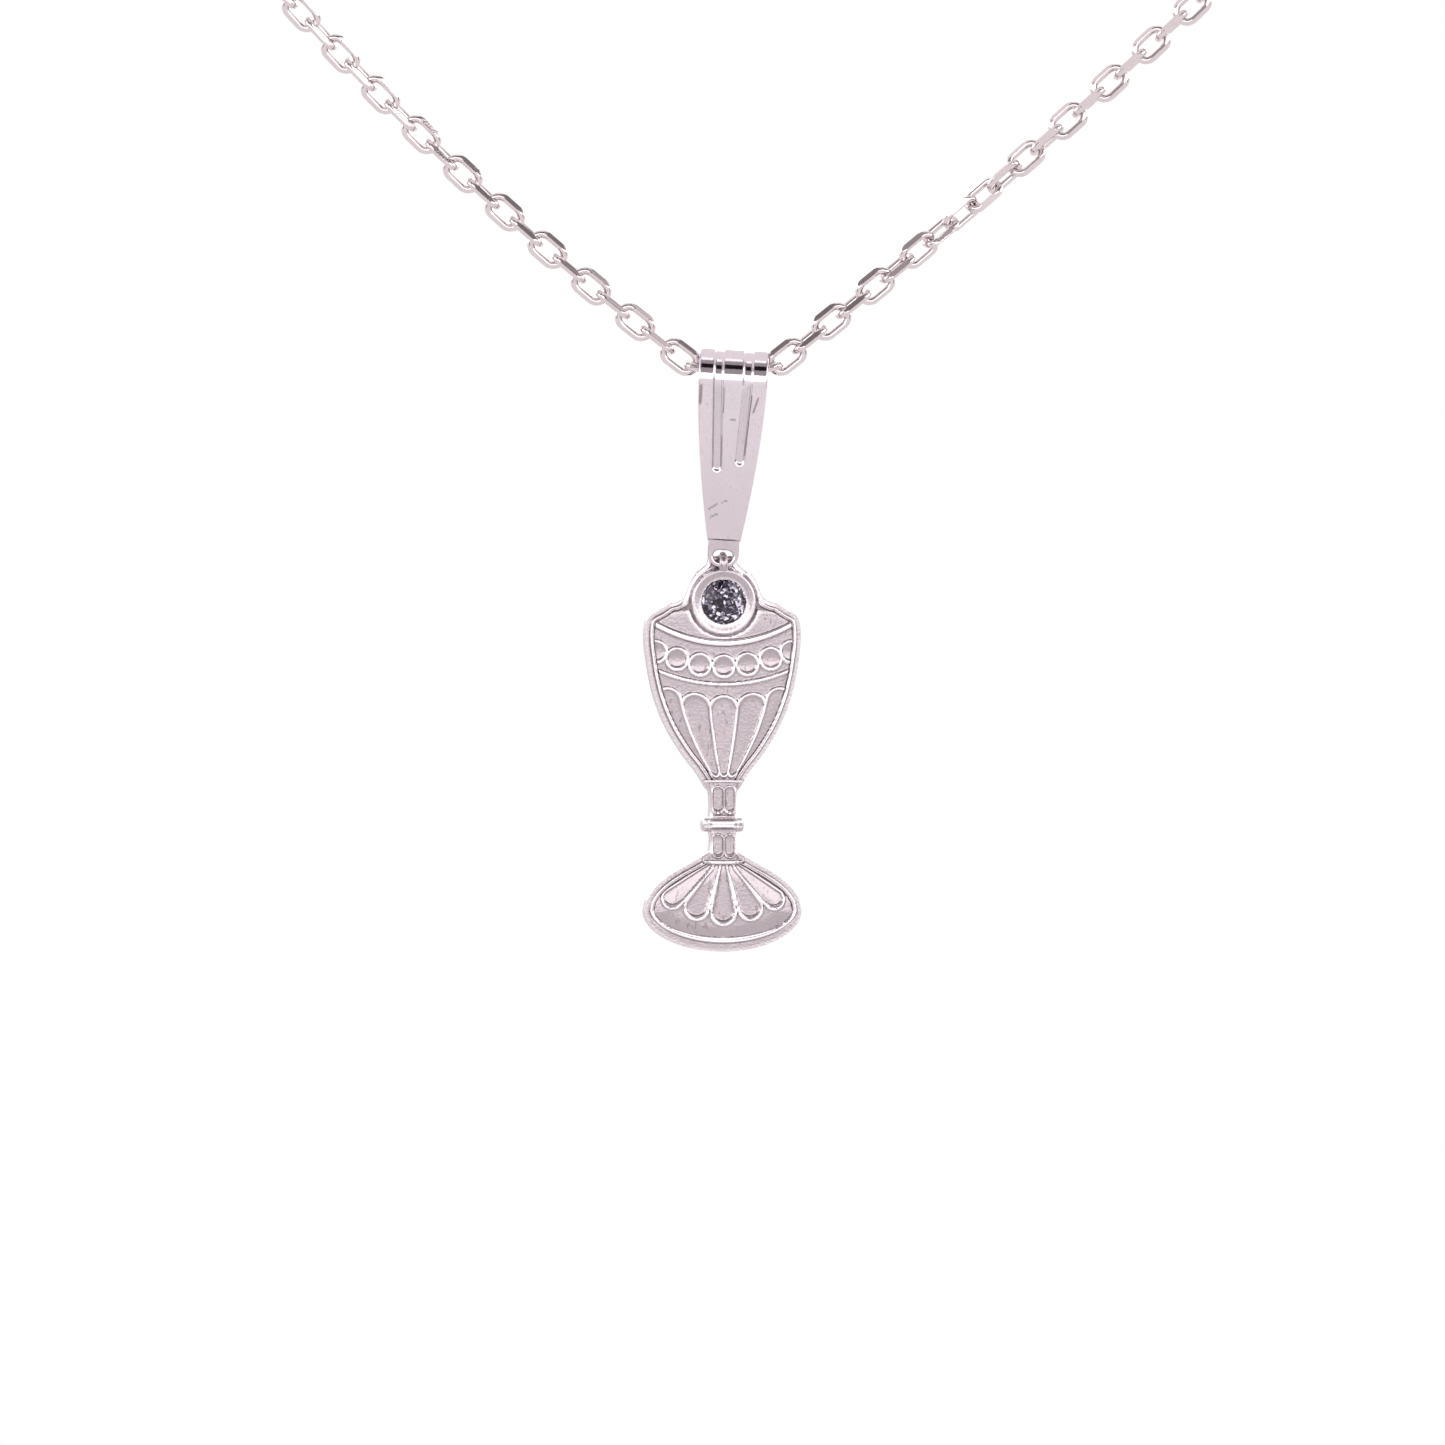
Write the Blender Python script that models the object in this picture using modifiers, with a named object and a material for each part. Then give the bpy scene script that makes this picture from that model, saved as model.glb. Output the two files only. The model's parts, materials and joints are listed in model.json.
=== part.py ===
"""Chalice-and-host pendant on its cable chain: a cast silver medal, its stone, bail and links.

Blender 4.5.  Metres, +Z up, front of the medal faces -Y.
The origin is the middle of the two places where the chain is held, level with its upper ends.
"""
import math

import bmesh
import bpy
from mathutils import Matrix, Vector

MM = 0.001

# ---- chain ------------------------------------------------------------------------------
PITCH = 1.425 * MM             # distance from one link's seat to the next along the chain
WIRE_R = 0.19 * MM             # radius of the links' wire
LINK_SLACK = 0.03 * MM         # free play between two linked wires
LINK_HALF_LENGTH = (PITCH + 2 * WIRE_R + LINK_SLACK) / 2    # to the wire's centre line
LINK_HALF_WIDTH = 0.535 * MM                                # to the wire's centre line
SEAT_SLOPE = math.radians(11)      # slope of the links beside the lowest link
LEFT_SLOPE = math.radians(37)      # slope of the first free link on the left run
LEFT_GAIN = math.radians(0.55)     # how much steeper each next link lies
LEFT_LINKS = 21
RIGHT_SLOPE = math.radians(38)
RIGHT_GAIN = math.radians(0.28)
RIGHT_LINKS = 21
FACE_ROLL = math.radians(7)        # the whole chain's small turn about its own run
LEFT_TWIST = math.radians(12)      # extra turn built up along the left run
RIGHT_TWIST = math.radians(72)     # extra turn built up along the right run

# ---- hanging point of the bail on the chain ----------------------------------------------
SEAT_X = 0.56 * MM
SEAT_Z = -18.95 * MM

# ---- bail: one strip folded over the chain -----------------------------------------------
SHEET = 0.30 * MM
ROLL_OUTER_R = 1.60 * MM
BAIL_CLEARANCE = 0.05 * MM         # between the lowest link and the inside of the fold
BAIL_TOP = LINK_HALF_WIDTH + WIRE_R + BAIL_CLEARANCE + SHEET    # above the hinge axis
ROLL_Z = BAIL_TOP - ROLL_OUTER_R
LEAF_END_Z = -8.50 * MM            # lower edge of both leaves
LEAF_END_Y = 0.33 * MM             # middle of a leaf's sheet at its lower edge
BAIL_TOP_HALF = 1.72 * MM          # half width at the fold
BAIL_END_HALF = 0.83 * MM          # half width at the lower edge
BAIL_TAPER = 1.6                   # 1 is a straight taper, more bows the sides outward
LEAF_STEPS = 7
GROOVE_TOP_X = 0.74 * MM           # middle of each groove at the fold
GROOVE_END_X = 0.56 * MM           # middle of each groove where it runs out
GROOVE_HALF = 0.20 * MM
GROOVE_DEPTH = 0.09 * MM
GROOVE_END_Z = -4.90 * MM
FOLD_STEPS = 16
GROOVE_STEPS = 13

# ---- eyelet: flat tab held between the leaves --------------------------------------------
EYELET_THICK = 0.30 * MM
EYELET_HALF = 0.78 * MM
EYELET_TOP_Z = -7.60 * MM
EYELET_SIDE_Z = -9.20 * MM
EYELET_BOTTOM_Z = -9.85 * MM
EYE_Z = -9.275 * MM
EYE_HALF_X = 0.50 * MM
EYE_HALF_Z = 0.30 * MM
BAIL_DROP = 9.71 * MM              # from the chain down to the medal's pivot
BAIL_LEAN = math.asin(SEAT_X / BAIL_DROP)
BAIL_TURN = math.radians(-8)       # the bail faces a little to the left of the medal

# ---- medal ---------------------------------------------------------------------------------
LOOP_Z = SEAT_Z - BAIL_DROP * math.cos(BAIL_LEAN)
LOOP_R = 0.47 * MM
LOOP_WIRE_R = 0.19 * MM
BACK_Y = 0.60 * MM
FIELD_Y = -0.20 * MM
NECK_Y = 0.32 * MM                 # front of the thin neck behind the eyelet
HOST_Z = -30.50 * MM
BEZEL_R = 1.64 * MM
BEZEL_Y = -0.72 * MM
BORDER = 0.30 * MM                 # flat border left all round the relief
STONE_R = 1.12 * MM
STONE_GAP = 0.02 * MM
STONE_GIRDLE_Y = -0.62 * MM
STONE_TABLE_Y = -0.86 * MM
STONE_CULET_Y = 0.22 * MM
STONE_FACETS = 16

# half widths of the silhouette, top to bottom: (height, half width) in millimetres
NECK_AND_HALO = [(-28.20, 0.66), (-28.55, 0.78), (-28.85, 1.10), (-29.10, 1.42), (-29.50, 1.68),
                 (-29.90, 1.84), (-30.30, 2.05), (-30.50, 2.40)]
SHOULDER = [(-30.58, 2.70), (-30.85, 3.12), (-31.15, 3.64), (-31.45, 3.84)]
CUP_SIDE = [(-32.30, 3.93), (-33.55, 3.80), (-34.85, 3.55), (-35.70, 3.29), (-36.45, 2.99),
            (-37.15, 2.63), (-37.78, 2.24), (-38.35, 1.84), (-38.85, 1.44), (-39.35, 1.10),
            (-39.80, 0.84)]
STEM = [(-40.00, 0.68), (-41.28, 0.68), (-41.36, 0.98), (-41.94, 0.98), (-42.02, 0.66), (-42.95, 0.68)]
FOOT_TOP = [(-43.10, 0.86), (-43.50, 1.55), (-43.95, 2.36), (-44.35, 2.95), (-44.68, 3.33),
            (-45.00, 3.60), (-45.40, 3.84)]
FOOT_WIDE_Z = -45.90
FOOT_HALF = 3.96
FOOT_BOTTOM_Z = -47.98
FOOT_ROWS = 9
COLUMNS = 10                       # half columns across the relief

# ---- end fittings --------------------------------------------------------------------------
RING_WIRE_R = 0.25 * MM
RING_R = 1.10 * MM
CLASP_R = 2.10 * MM                # centre line of the clasp's ring
CASE_OUTER_R = 0.55 * MM
CASE_WALL = 0.12 * MM
BOLT_R = 0.34 * MM
GAP_START = math.radians(-20)      # the opening that the bolt closes, round the clasp's ring
GAP_END = math.radians(45)
BOLT_TRAVEL = math.radians(40)
BOLT_TAIL = math.radians(95)
SLOT_START = math.radians(66)
SLOT_END = math.radians(122)
SLOT_R = 0.20 * MM
LEVER_ANGLE = math.radians(74)
LEVER_R = 0.13 * MM
LEVER_LENGTH = 0.95 * MM
END_PLAY = math.radians(1)
SPRING_R = 0.26 * MM
SPRING_WIRE_R = 0.06 * MM
SPRING_TURNS = 14
SPRING_POINTS = 6
TAB_R = 0.62 * MM
TAB_WIRE_R = 0.17 * MM
TAB_GAP = 0.02 * MM

SILVER = (0.60, 0.55, 0.57)
SPRING_STEEL = (0.50, 0.49, 0.50)
GREY_STONE = (0.10, 0.08, 0.11)


def clear_scene():
    for thing in list(bpy.data.objects):
        bpy.data.objects.remove(thing, do_unlink=True)


def collection(name):
    made = bpy.data.collections.new(name)
    bpy.context.scene.collection.children.link(made)
    return made


def metal(name, colour, roughness, metallic=1.0):
    material = bpy.data.materials.new(name)
    material.use_nodes = True
    shader = material.node_tree.nodes["Principled BSDF"]
    shader.inputs["Base Color"].default_value = (*colour, 1)
    shader.inputs["Roughness"].default_value = roughness
    shader.inputs["Metallic"].default_value = metallic
    return material


def add(name, data, group, material):
    made = bpy.data.objects.new(name, data)
    if material is not None:
        data.materials.clear()
        data.materials.append(material)
    group.objects.link(made)
    return made


def empty(name, group, place, turn=None):
    made = bpy.data.objects.new(name, None)
    made.matrix_world = Matrix.Translation(place) @ (turn or Matrix.Identity(4))
    group.objects.link(made)
    return made


def cutter(name, mesh, group, parent=None):
    made = add(name, mesh, group, None)
    made.hide_render = True
    made.display_type = "WIRE"
    made.parent = parent
    return made


def cut(target, tool, operation="DIFFERENCE"):
    change = target.modifiers.new("cut_" + tool.name, "BOOLEAN")
    change.operation = operation
    change.solver = "EXACT"
    change.object = tool


def mesh_from(name, build):
    made = bmesh.new()
    build(made)
    mesh = bpy.data.meshes.new(name)
    made.to_mesh(mesh)
    made.free()
    return mesh


def smooth(thing, angle=35):
    thing.data.shade_smooth()
    thing.data.set_sharp_from_angle(angle=math.radians(angle))


def poly_curve(name, points, closed, bevel, resolution=2):
    curve = bpy.data.curves.new(name, "CURVE")
    curve.dimensions = "3D"
    curve.bevel_depth = bevel
    curve.bevel_resolution = resolution
    curve.use_fill_caps = not closed
    spline = curve.splines.new("POLY")
    spline.points.add(len(points) - 1)
    for slot, point in zip(spline.points, points):
        slot.co = (*point, 1)
    spline.use_cyclic_u = closed
    return curve


def flat_outline(name, outlines, thickness):
    curve = bpy.data.curves.new(name, "CURVE")
    curve.dimensions = "2D"
    curve.fill_mode = "BOTH"
    curve.extrude = thickness / 2
    for outline in outlines:
        spline = curve.splines.new("POLY")
        spline.points.add(len(outline) - 1)
        for slot, (across, up) in zip(spline.points, outline):
            slot.co = (across, up, 0, 1)
        spline.use_cyclic_u = True
    return curve


def curve_to_mesh(thing, weld=1e-7):
    """Turn a curve object's evaluated shape into a welded mesh and drop the curve."""
    graph = bpy.context.evaluated_depsgraph_get()
    mesh = bpy.data.meshes.new_from_object(thing.evaluated_get(graph))
    made = bmesh.new()
    made.from_mesh(mesh)
    bmesh.ops.remove_doubles(made, verts=made.verts, dist=weld)
    bmesh.ops.recalc_face_normals(made, faces=made.faces)
    made.to_mesh(mesh)
    made.free()
    place = thing.matrix_world.copy()
    bpy.data.objects.remove(thing, do_unlink=True)
    return mesh, place


def arc(centre, radius, start, end, steps):
    """Points in the XZ plane round centre, from start to end."""
    points = []
    for step in range(steps + 1):
        angle = start + (end - start) * step / steps
        points.append(centre + Vector((radius * math.cos(angle), 0, radius * math.sin(angle))))
    return points


# ---- chain ------------------------------------------------------------------------------
def link_mesh(material):
    """An oval ring of wire in the XZ plane, its long side along X."""
    shift = LINK_HALF_LENGTH - LINK_HALF_WIDTH
    points = arc(Vector((shift, 0, 0)), LINK_HALF_WIDTH, -math.pi / 2, math.pi / 2, 4)
    points += arc(Vector((-shift, 0, 0)), LINK_HALF_WIDTH, math.pi / 2, 3 * math.pi / 2, 4)
    scratch = bpy.data.objects.new("link_wire", poly_curve("link_wire", points, True, WIRE_R))
    bpy.context.scene.collection.objects.link(scratch)
    mesh, _ = curve_to_mesh(scratch)
    mesh.name = "chain_link"
    mesh.materials.clear()
    mesh.materials.append(material)
    mesh.shade_smooth()
    return mesh


def ease(value):
    value = min(1.0, max(0.0, value))
    return value * value * (3 - 2 * value)


def run_of_links(side):
    """Centre, plan angle, slope and roll of each link on one side of the lowest link, going outward."""
    count, slope, gain = ((RIGHT_LINKS, RIGHT_SLOPE, RIGHT_GAIN) if side > 0
                          else (LEFT_LINKS, LEFT_SLOPE, LEFT_GAIN))
    lowest_end = Matrix.Rotation(BAIL_TURN, 3, "Z") @ Vector((side * PITCH / 2, 0, 0))
    joint = Vector((SEAT_X, 0, SEAT_Z)) + lowest_end
    places = []
    for step in range(1, count + 2):
        angle = SEAT_SLOPE if step == 1 else slope + gain * (step - 2)
        plan = BAIL_TURN * max(0, 1 - (step - 1) / 2)
        heading = Matrix.Rotation(plan, 3, "Z") @ Vector((side * math.cos(angle), 0, math.sin(angle)))
        twist = (RIGHT_TWIST * ease((step - 5) / 11) if side > 0
                 else LEFT_TWIST * ease((step - 2) / 16))
        roll = FACE_ROLL + twist + (math.pi / 2 if step % 2 else 0)
        places.append((joint + heading * PITCH / 2, plan, side * angle, roll))
        joint = joint + heading * PITCH
    return places, joint, heading


def link_matrix(centre, plan, slope, roll):
    heading = Matrix.Rotation(plan, 4, "Z") @ Matrix.Rotation(-slope, 4, "Y")
    return Matrix.Translation(centre) @ heading @ Matrix.Rotation(roll, 4, "X")


def make_chain(parts, silver):
    left, left_end, left_heading = run_of_links(-1)
    right, right_end, right_heading = run_of_links(1)
    lowest = [(Vector((SEAT_X, 0, SEAT_Z)), BAIL_TURN, -BAIL_LEAN / 2, FACE_ROLL)]
    mesh = link_mesh(silver)
    for number, place in enumerate(left[::-1] + lowest + right, start=1):
        link = add("chain_link_%02d" % number, mesh, parts, silver)
        link.matrix_world = link_matrix(*place)
    return (left_end, left_heading, left[-1][3]), (right_end, right_heading, right[-1][3])


# ---- bail -----------------------------------------------------------------------------------
def fold_path(end_z, offset, steps, early=0.0, leaf_steps=1):
    """(y, z) points along the folded strip: up the front leaf, over the roll, down the back leaf.

    offset moves the path outward from the middle of the sheet, and early leaves the roll that
    much before its tangent point, so that a cutter's corners miss the sheet's own.
    """
    roll = ROLL_OUTER_R - SHEET / 2
    drop = ROLL_Z - LEAF_END_Z
    lean = math.asin(roll / math.hypot(drop, LEAF_END_Y)) - math.atan2(LEAF_END_Y, drop)
    turn = math.pi / 2 + lean
    radius = roll + offset
    points = []
    for step in range(steps + 1):
        angle = (turn - early) * (2 * step / steps - 1)
        points.append((radius * math.sin(angle), ROLL_Z + radius * math.cos(angle)))
    tangent_y = radius * math.sin(turn)
    tangent_z = ROLL_Z + radius * math.cos(turn)
    leaf = []
    for step in range(1, leaf_steps + 1):
        fall = (tangent_z - end_z) * step / leaf_steps
        leaf.append((tangent_y - fall * math.tan(lean), tangent_z - fall))
    return [(-y, z) for y, z in leaf[::-1]] + points + leaf


def strip(made, path, edges):
    """A surface along path: edges gives the left and right x at each (y, z) point."""
    rows = []
    for y, z in path:
        left, right = edges(z)
        rows.append([made.verts.new((left, y, z)), made.verts.new((right, y, z))])
    for lower, upper in zip(rows, rows[1:]):
        made.faces.new((lower[0], lower[1], upper[1], upper[0]))


def bail_half(z):
    share = min(1.0, max(0.0, (ROLL_Z - z) / (ROLL_Z - LEAF_END_Z)))
    return BAIL_TOP_HALF + (BAIL_END_HALF - BAIL_TOP_HALF) * share**BAIL_TAPER


def groove_middle(z):
    share = min(1.0, max(0.0, (ROLL_Z - z) / (ROLL_Z - GROOVE_END_Z)))
    return GROOVE_TOP_X + (GROOVE_END_X - GROOVE_TOP_X) * share


def thicken(thing, thickness, offset):
    shell = thing.modifiers.new("sheet", "SOLIDIFY")
    shell.thickness = thickness
    shell.offset = offset
    shell.use_even_offset = True


def make_bail(parts, cutters, silver, hinge):
    path = fold_path(LEAF_END_Z, 0, FOLD_STEPS, leaf_steps=LEAF_STEPS)
    mesh = mesh_from("bail", lambda made: strip(made, path, lambda z: (-bail_half(z), bail_half(z))))
    bail = add("bail", mesh, parts, silver)
    bail.parent = hinge
    thicken(bail, SHEET, 0)
    groove_path = fold_path(GROOVE_END_Z, SHEET / 2 - GROOVE_DEPTH, GROOVE_STEPS, early=0.06)
    for name, side in (("left", -1), ("right", 1)):
        def edges(z, side=side):
            middle = side * groove_middle(z)
            return (middle - GROOVE_HALF, middle + GROOVE_HALF)
        groove_mesh = mesh_from("groove", lambda made: strip(made, groove_path, edges))
        groove = cutter("bail_groove_" + name, groove_mesh, cutters, hinge)
        thicken(groove, 4 * GROOVE_DEPTH, 1)
        cut(bail, groove)
    return bail


def make_eyelet(parts, silver, hinge):
    outline = [(EYELET_HALF, EYELET_TOP_Z)]
    low = EYELET_SIDE_Z - EYELET_BOTTOM_Z
    for step in range(13):
        angle = math.pi * step / 12
        outline.append((EYELET_HALF * math.cos(angle), EYELET_SIDE_Z - low * math.sin(angle)))
    outline.append((-EYELET_HALF, EYELET_TOP_Z))
    hole = []
    straight = EYE_HALF_X - EYE_HALF_Z
    for step in range(16):
        angle = 2 * math.pi * (step + 0.5) / 16
        shift = straight if math.cos(angle) > 0 else -straight
        hole.append((shift + EYE_HALF_Z * math.cos(angle), EYE_Z + EYE_HALF_Z * math.sin(angle)))
    curve = flat_outline("bail_eyelet", [outline, hole], EYELET_THICK)
    scratch = bpy.data.objects.new("eyelet_outline", curve)
    scratch.rotation_euler = (math.pi / 2, 0, 0)
    bpy.context.scene.collection.objects.link(scratch)
    bpy.context.view_layer.update()
    mesh, place = curve_to_mesh(scratch)
    mesh.transform(place)
    eyelet = add("bail_eyelet", mesh, parts, silver)
    eyelet.parent = hinge
    return eyelet


# ---- medal ----------------------------------------------------------------------------------
def silhouette():
    """(height, half width) of the medal's outline from top to bottom, in metres."""
    foot = []
    depth = FOOT_WIDE_Z - FOOT_BOTTOM_Z
    for step in range(FOOT_ROWS + 1):
        angle = math.pi / 2 * step / FOOT_ROWS
        foot.append((FOOT_WIDE_Z - depth * math.sin(angle), FOOT_HALF * math.cos(angle)))
    rows = NECK_AND_HALO + SHOULDER + CUP_SIDE + STEM + FOOT_TOP + foot
    rows = [(z * MM, half * MM) for z, half in rows]
    rows[-1] = (rows[-1][0], 0.35 * MM)
    return rows


def relief_depth(x, z, half):
    """How far the front stands out of the field at this point of the medal."""
    edge = half - abs(x)
    rise = ease(edge / BORDER)
    if z > HOST_Z:
        return 0.0
    share = abs(x) / max(half, 1e-6)
    bulge = math.sqrt(max(0.0, 1 - share * share))
    if z > -31.6 * MM:
        return 0.12 * MM * rise
    if z > -40 * MM:
        return (0.16 + 0.34 * bulge) * MM * rise
    if z > -43.2 * MM:
        return (0.10 + 0.40 * bulge) * MM
    fall = ease((z / MM - FOOT_BOTTOM_Z) / 1.2)
    return (0.10 + 0.30 * bulge) * MM * rise * fall


def front_y(x, z, half):
    depth = FIELD_Y - relief_depth(x, z, half)
    neck = ease((z - (LOOP_Z - 1.05 * MM)) / (0.55 * MM))
    return depth + (NECK_Y - depth) * neck


def relief(made):
    """Front rows of the relief over a flat back, closed all round."""
    rows = silhouette()
    front = []
    back = []
    for z, half in rows:
        xs = [half * math.sin(math.pi / 2 * step / COLUMNS) for step in range(-COLUMNS, COLUMNS + 1)]
        front.append([made.verts.new((x, front_y(x, z, half), z)) for x in xs])
        back.append([made.verts.new((x, BACK_Y, z)) for x in (-half, half)])
    for upper, lower in zip(front, front[1:]):
        for column in range(2 * COLUMNS):
            made.faces.new((upper[column], lower[column], lower[column + 1], upper[column + 1]))
    for row in range(len(rows) - 1):
        (back_left, back_right), (low_left, low_right) = back[row], back[row + 1]
        made.faces.new((back_left, back_right, low_right, low_left))
        made.faces.new((front[row][0], back_left, low_left, front[row + 1][0]))
        made.faces.new((back_right, front[row][-1], front[row + 1][-1], low_right))
    made.faces.new((*front[0], *back[0][::-1]))
    made.faces.new((*front[-1][::-1], *back[-1]))
    bmesh.ops.recalc_face_normals(made, faces=made.faces)


def cylinder(radius, start_y, end_y, sides):
    """Mesh of a round bar along Y."""
    def build(made):
        middle = Matrix.Translation((0, (start_y + end_y) / 2, 0)) @ Matrix.Rotation(math.pi / 2, 4, "X")
        bmesh.ops.create_cone(made, cap_ends=True, segments=sides, radius1=radius, radius2=radius,
                              depth=abs(end_y - start_y), matrix=middle)
    return mesh_from("round_bar", build)


def make_loop(group):
    points = []
    for step in range(16):
        angle = 2 * math.pi * step / 16
        points.append(Vector((0, LOOP_R * math.cos(angle), LOOP_R * math.sin(angle))))
    scratch = bpy.data.objects.new("loop_wire", poly_curve("loop_wire", points, True, LOOP_WIRE_R))
    bpy.context.scene.collection.objects.link(scratch)
    mesh, _ = curve_to_mesh(scratch)
    loop = cutter("medal_loop", mesh, group)
    loop.location = (0, 0, LOOP_Z)
    return loop


def make_medal(parts, cutters, silver, pivot):
    medal = add("chalice_medal", mesh_from("chalice_medal", relief), parts, silver)
    medal.parent = pivot
    medal.location = (0, 0, -LOOP_Z)
    host_place = (0, 0, HOST_Z)
    bezel = cutter("bezel_boss", cylinder(BEZEL_R, BEZEL_Y, 0.4 * MM, 32), cutters)
    bezel.location = host_place
    seat = cutter("stone_seat", cylinder(STONE_R + STONE_GAP, -2 * MM, 0.30 * MM, 32), cutters)
    seat.location = host_place
    cut(medal, bezel, "UNION")
    cut(medal, make_loop(cutters), "UNION")
    cut(medal, seat)
    smooth(medal)
    return medal


def make_stone(parts, material, pivot):
    """Round stone: a flat table, a sloping crown, a thin girdle and a pointed back."""
    girdle = 0.03 * MM
    rings = [(0.57 * STONE_R, STONE_TABLE_Y), (STONE_R, STONE_GIRDLE_Y),
             (STONE_R, STONE_GIRDLE_Y + girdle), (0.04 * STONE_R, STONE_CULET_Y)]

    def build(made):
        loops = []
        for radius, y in rings:
            loop = []
            for step in range(STONE_FACETS):
                angle = 2 * math.pi * step / STONE_FACETS
                loop.append(made.verts.new((radius * math.cos(angle), y, radius * math.sin(angle))))
            loops.append(loop)
        for near, far in zip(loops, loops[1:]):
            for step in range(STONE_FACETS):
                after = (step + 1) % STONE_FACETS
                made.faces.new((near[step], near[after], far[after], far[step]))
        made.faces.new(loops[0])
        made.faces.new(loops[-1])
        bmesh.ops.recalc_face_normals(made, faces=made.faces)
    stone = add("host_stone", mesh_from("host_stone", build), parts, material)
    stone.parent = pivot
    stone.location = (0, 0, HOST_Z - LOOP_Z)
    return stone


# ---- end fittings ----------------------------------------------------------------------------
def ring_points(radius, steps=16):
    points = []
    for step in range(steps):
        angle = 2 * math.pi * step / steps
        points.append(Vector((radius * math.cos(angle), 0, radius * math.sin(angle))))
    return points


def end_frame(joint, heading, roll):
    """Frame at a run's outer end: X runs on outward, turned by roll about the run."""
    slope = math.atan2(heading.z, heading.x)
    return Matrix.Translation(joint) @ Matrix.Rotation(-slope, 4, "Y") @ Matrix.Rotation(roll, 4, "X")


def make_ring(name, end, parts, silver):
    """Round ring linked square through the last link of a run."""
    joint, heading, link_roll = end
    frame = end_frame(joint, heading, link_roll + math.pi / 2)
    along = RING_R - RING_WIRE_R - LINK_SLACK / 2
    ring = add(name, poly_curve(name, ring_points(RING_R), True, RING_WIRE_R), parts, silver)
    ring.matrix_world = frame @ Matrix.Translation((along, 0, 0))


def tube_arc(name, radius, start, end, steps, bevel, caps):
    curve = poly_curve(name, arc(Vector((0, 0, 0)), radius, start, end, steps), False, bevel, 3)
    curve.use_fill_caps = caps
    scratch = bpy.data.objects.new(name + "_wire", curve)
    bpy.context.scene.collection.objects.link(scratch)
    mesh, _ = curve_to_mesh(scratch)
    mesh.name = name
    return mesh


def make_case(clasp, parts, cutters, silver):
    """Tube bent round to a ring, open between GAP_START and GAP_END, slotted for the lever."""
    mesh = tube_arc("clasp_case", CLASP_R, GAP_END, 2 * math.pi + GAP_START, 28,
                    CASE_OUTER_R - CASE_WALL / 2, False)
    case = add("clasp_case", mesh, parts, silver)
    case.parent = clasp
    thicken(case, CASE_WALL, 0)
    slot_mesh = tube_arc("lever_slot", CLASP_R + CASE_OUTER_R, SLOT_START, SLOT_END, 8, SLOT_R, True)
    cut(case, cutter("lever_slot", slot_mesh, cutters, clasp))


def make_bolt(clasp, parts, cutters, silver):
    """Curved rod that closes the gap, with the thumb lever that draws it back."""
    mesh = tube_arc("clasp_bolt", CLASP_R, GAP_START + END_PLAY, BOLT_TAIL, 14, BOLT_R, True)
    bolt = add("clasp_bolt", mesh, parts, silver)
    bolt.parent = clasp
    lever_mesh = mesh_from("lever", lambda made: bmesh.ops.create_cone(
        made, cap_ends=True, segments=8, radius1=LEVER_R, radius2=LEVER_R, depth=LEVER_LENGTH))
    lever = cutter("lever", lever_mesh, cutters, clasp)
    reach = CLASP_R + LEVER_LENGTH / 2 + LEVER_R / 2
    lever.location = (reach * math.cos(LEVER_ANGLE), 0, reach * math.sin(LEVER_ANGLE))
    lever.rotation_euler = (0, math.pi / 2 - LEVER_ANGLE, 0)
    cut(bolt, lever, "UNION")


def make_spring(clasp, parts, steel):
    """Coil behind the bolt, drawn at the length it has with the bolt fully back."""
    start = BOLT_TAIL + BOLT_TRAVEL + END_PLAY
    end = 2 * math.pi + GAP_START - END_PLAY
    count = SPRING_TURNS * SPRING_POINTS
    points = []
    for step in range(count + 1):
        along = start + (end - start) * step / count
        turn = 2 * math.pi * step / SPRING_POINTS
        reach = CLASP_R + SPRING_R * math.cos(turn)
        points.append(Vector((reach * math.cos(along), SPRING_R * math.sin(turn), reach * math.sin(along))))
    spring = add("clasp_spring", poly_curve("clasp_spring", points, False, SPRING_WIRE_R, 1), parts, steel)
    spring.parent = clasp


def make_clasp(frame, parts, cutters, silver, spring_steel):
    """Spring-ring clasp in the frame's XZ plane, its tab pointing back along the chain."""
    clasp = empty("clasp_centre", parts, (0, 0, 0))
    clasp.matrix_world = frame
    make_case(clasp, parts, cutters, silver)
    make_bolt(clasp, parts, cutters, silver)
    make_spring(clasp, parts, spring_steel)
    tab = add("clasp_tab", poly_curve("clasp_tab", ring_points(TAB_R, 12), True, TAB_WIRE_R), parts, silver)
    tab.parent = clasp
    tab.location = (-CLASP_R - CASE_OUTER_R - TAB_GAP - TAB_WIRE_R - TAB_R, 0, 0)


def clasp_reach():
    """Distance from the run's end to the clasp's centre, through the jump ring and the tab."""
    ring_far = 2 * RING_R - RING_WIRE_R - LINK_SLACK / 2
    tab_far = ring_far - RING_WIRE_R - TAB_WIRE_R - LINK_SLACK + 2 * TAB_R
    return tab_far + TAB_WIRE_R + TAB_GAP + CASE_OUTER_R + CLASP_R


def main():
    clear_scene()
    parts = collection("chalice_pendant")
    cutters = collection("cutters")
    silver = metal("silver", SILVER, 0.18)
    stone_material = metal("grey_stone", GREY_STONE, 0.05, 0.0)
    left_end, right_end = make_chain(parts, silver)
    facing = Matrix.Rotation(BAIL_LEAN, 4, "Y") @ Matrix.Rotation(BAIL_TURN, 4, "Z")
    hinge = empty("bail_hinge", parts, (SEAT_X, 0, SEAT_Z), facing)
    make_bail(parts, cutters, silver, hinge)
    make_eyelet(parts, silver, hinge)
    pivot = empty("medal_pivot", parts, (0, 0, LOOP_Z))
    make_medal(parts, cutters, silver, pivot)
    make_stone(parts, stone_material, pivot)
    make_ring("clasp_jump_ring", left_end, parts, silver)
    make_ring("end_ring", right_end, parts, silver)
    clasp_frame = end_frame(left_end[0], left_end[1], 0) @ Matrix.Translation((clasp_reach(), 0, 0))
    make_clasp(clasp_frame, parts, cutters, silver, metal("spring_steel", SPRING_STEEL, 0.30))


main()
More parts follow.
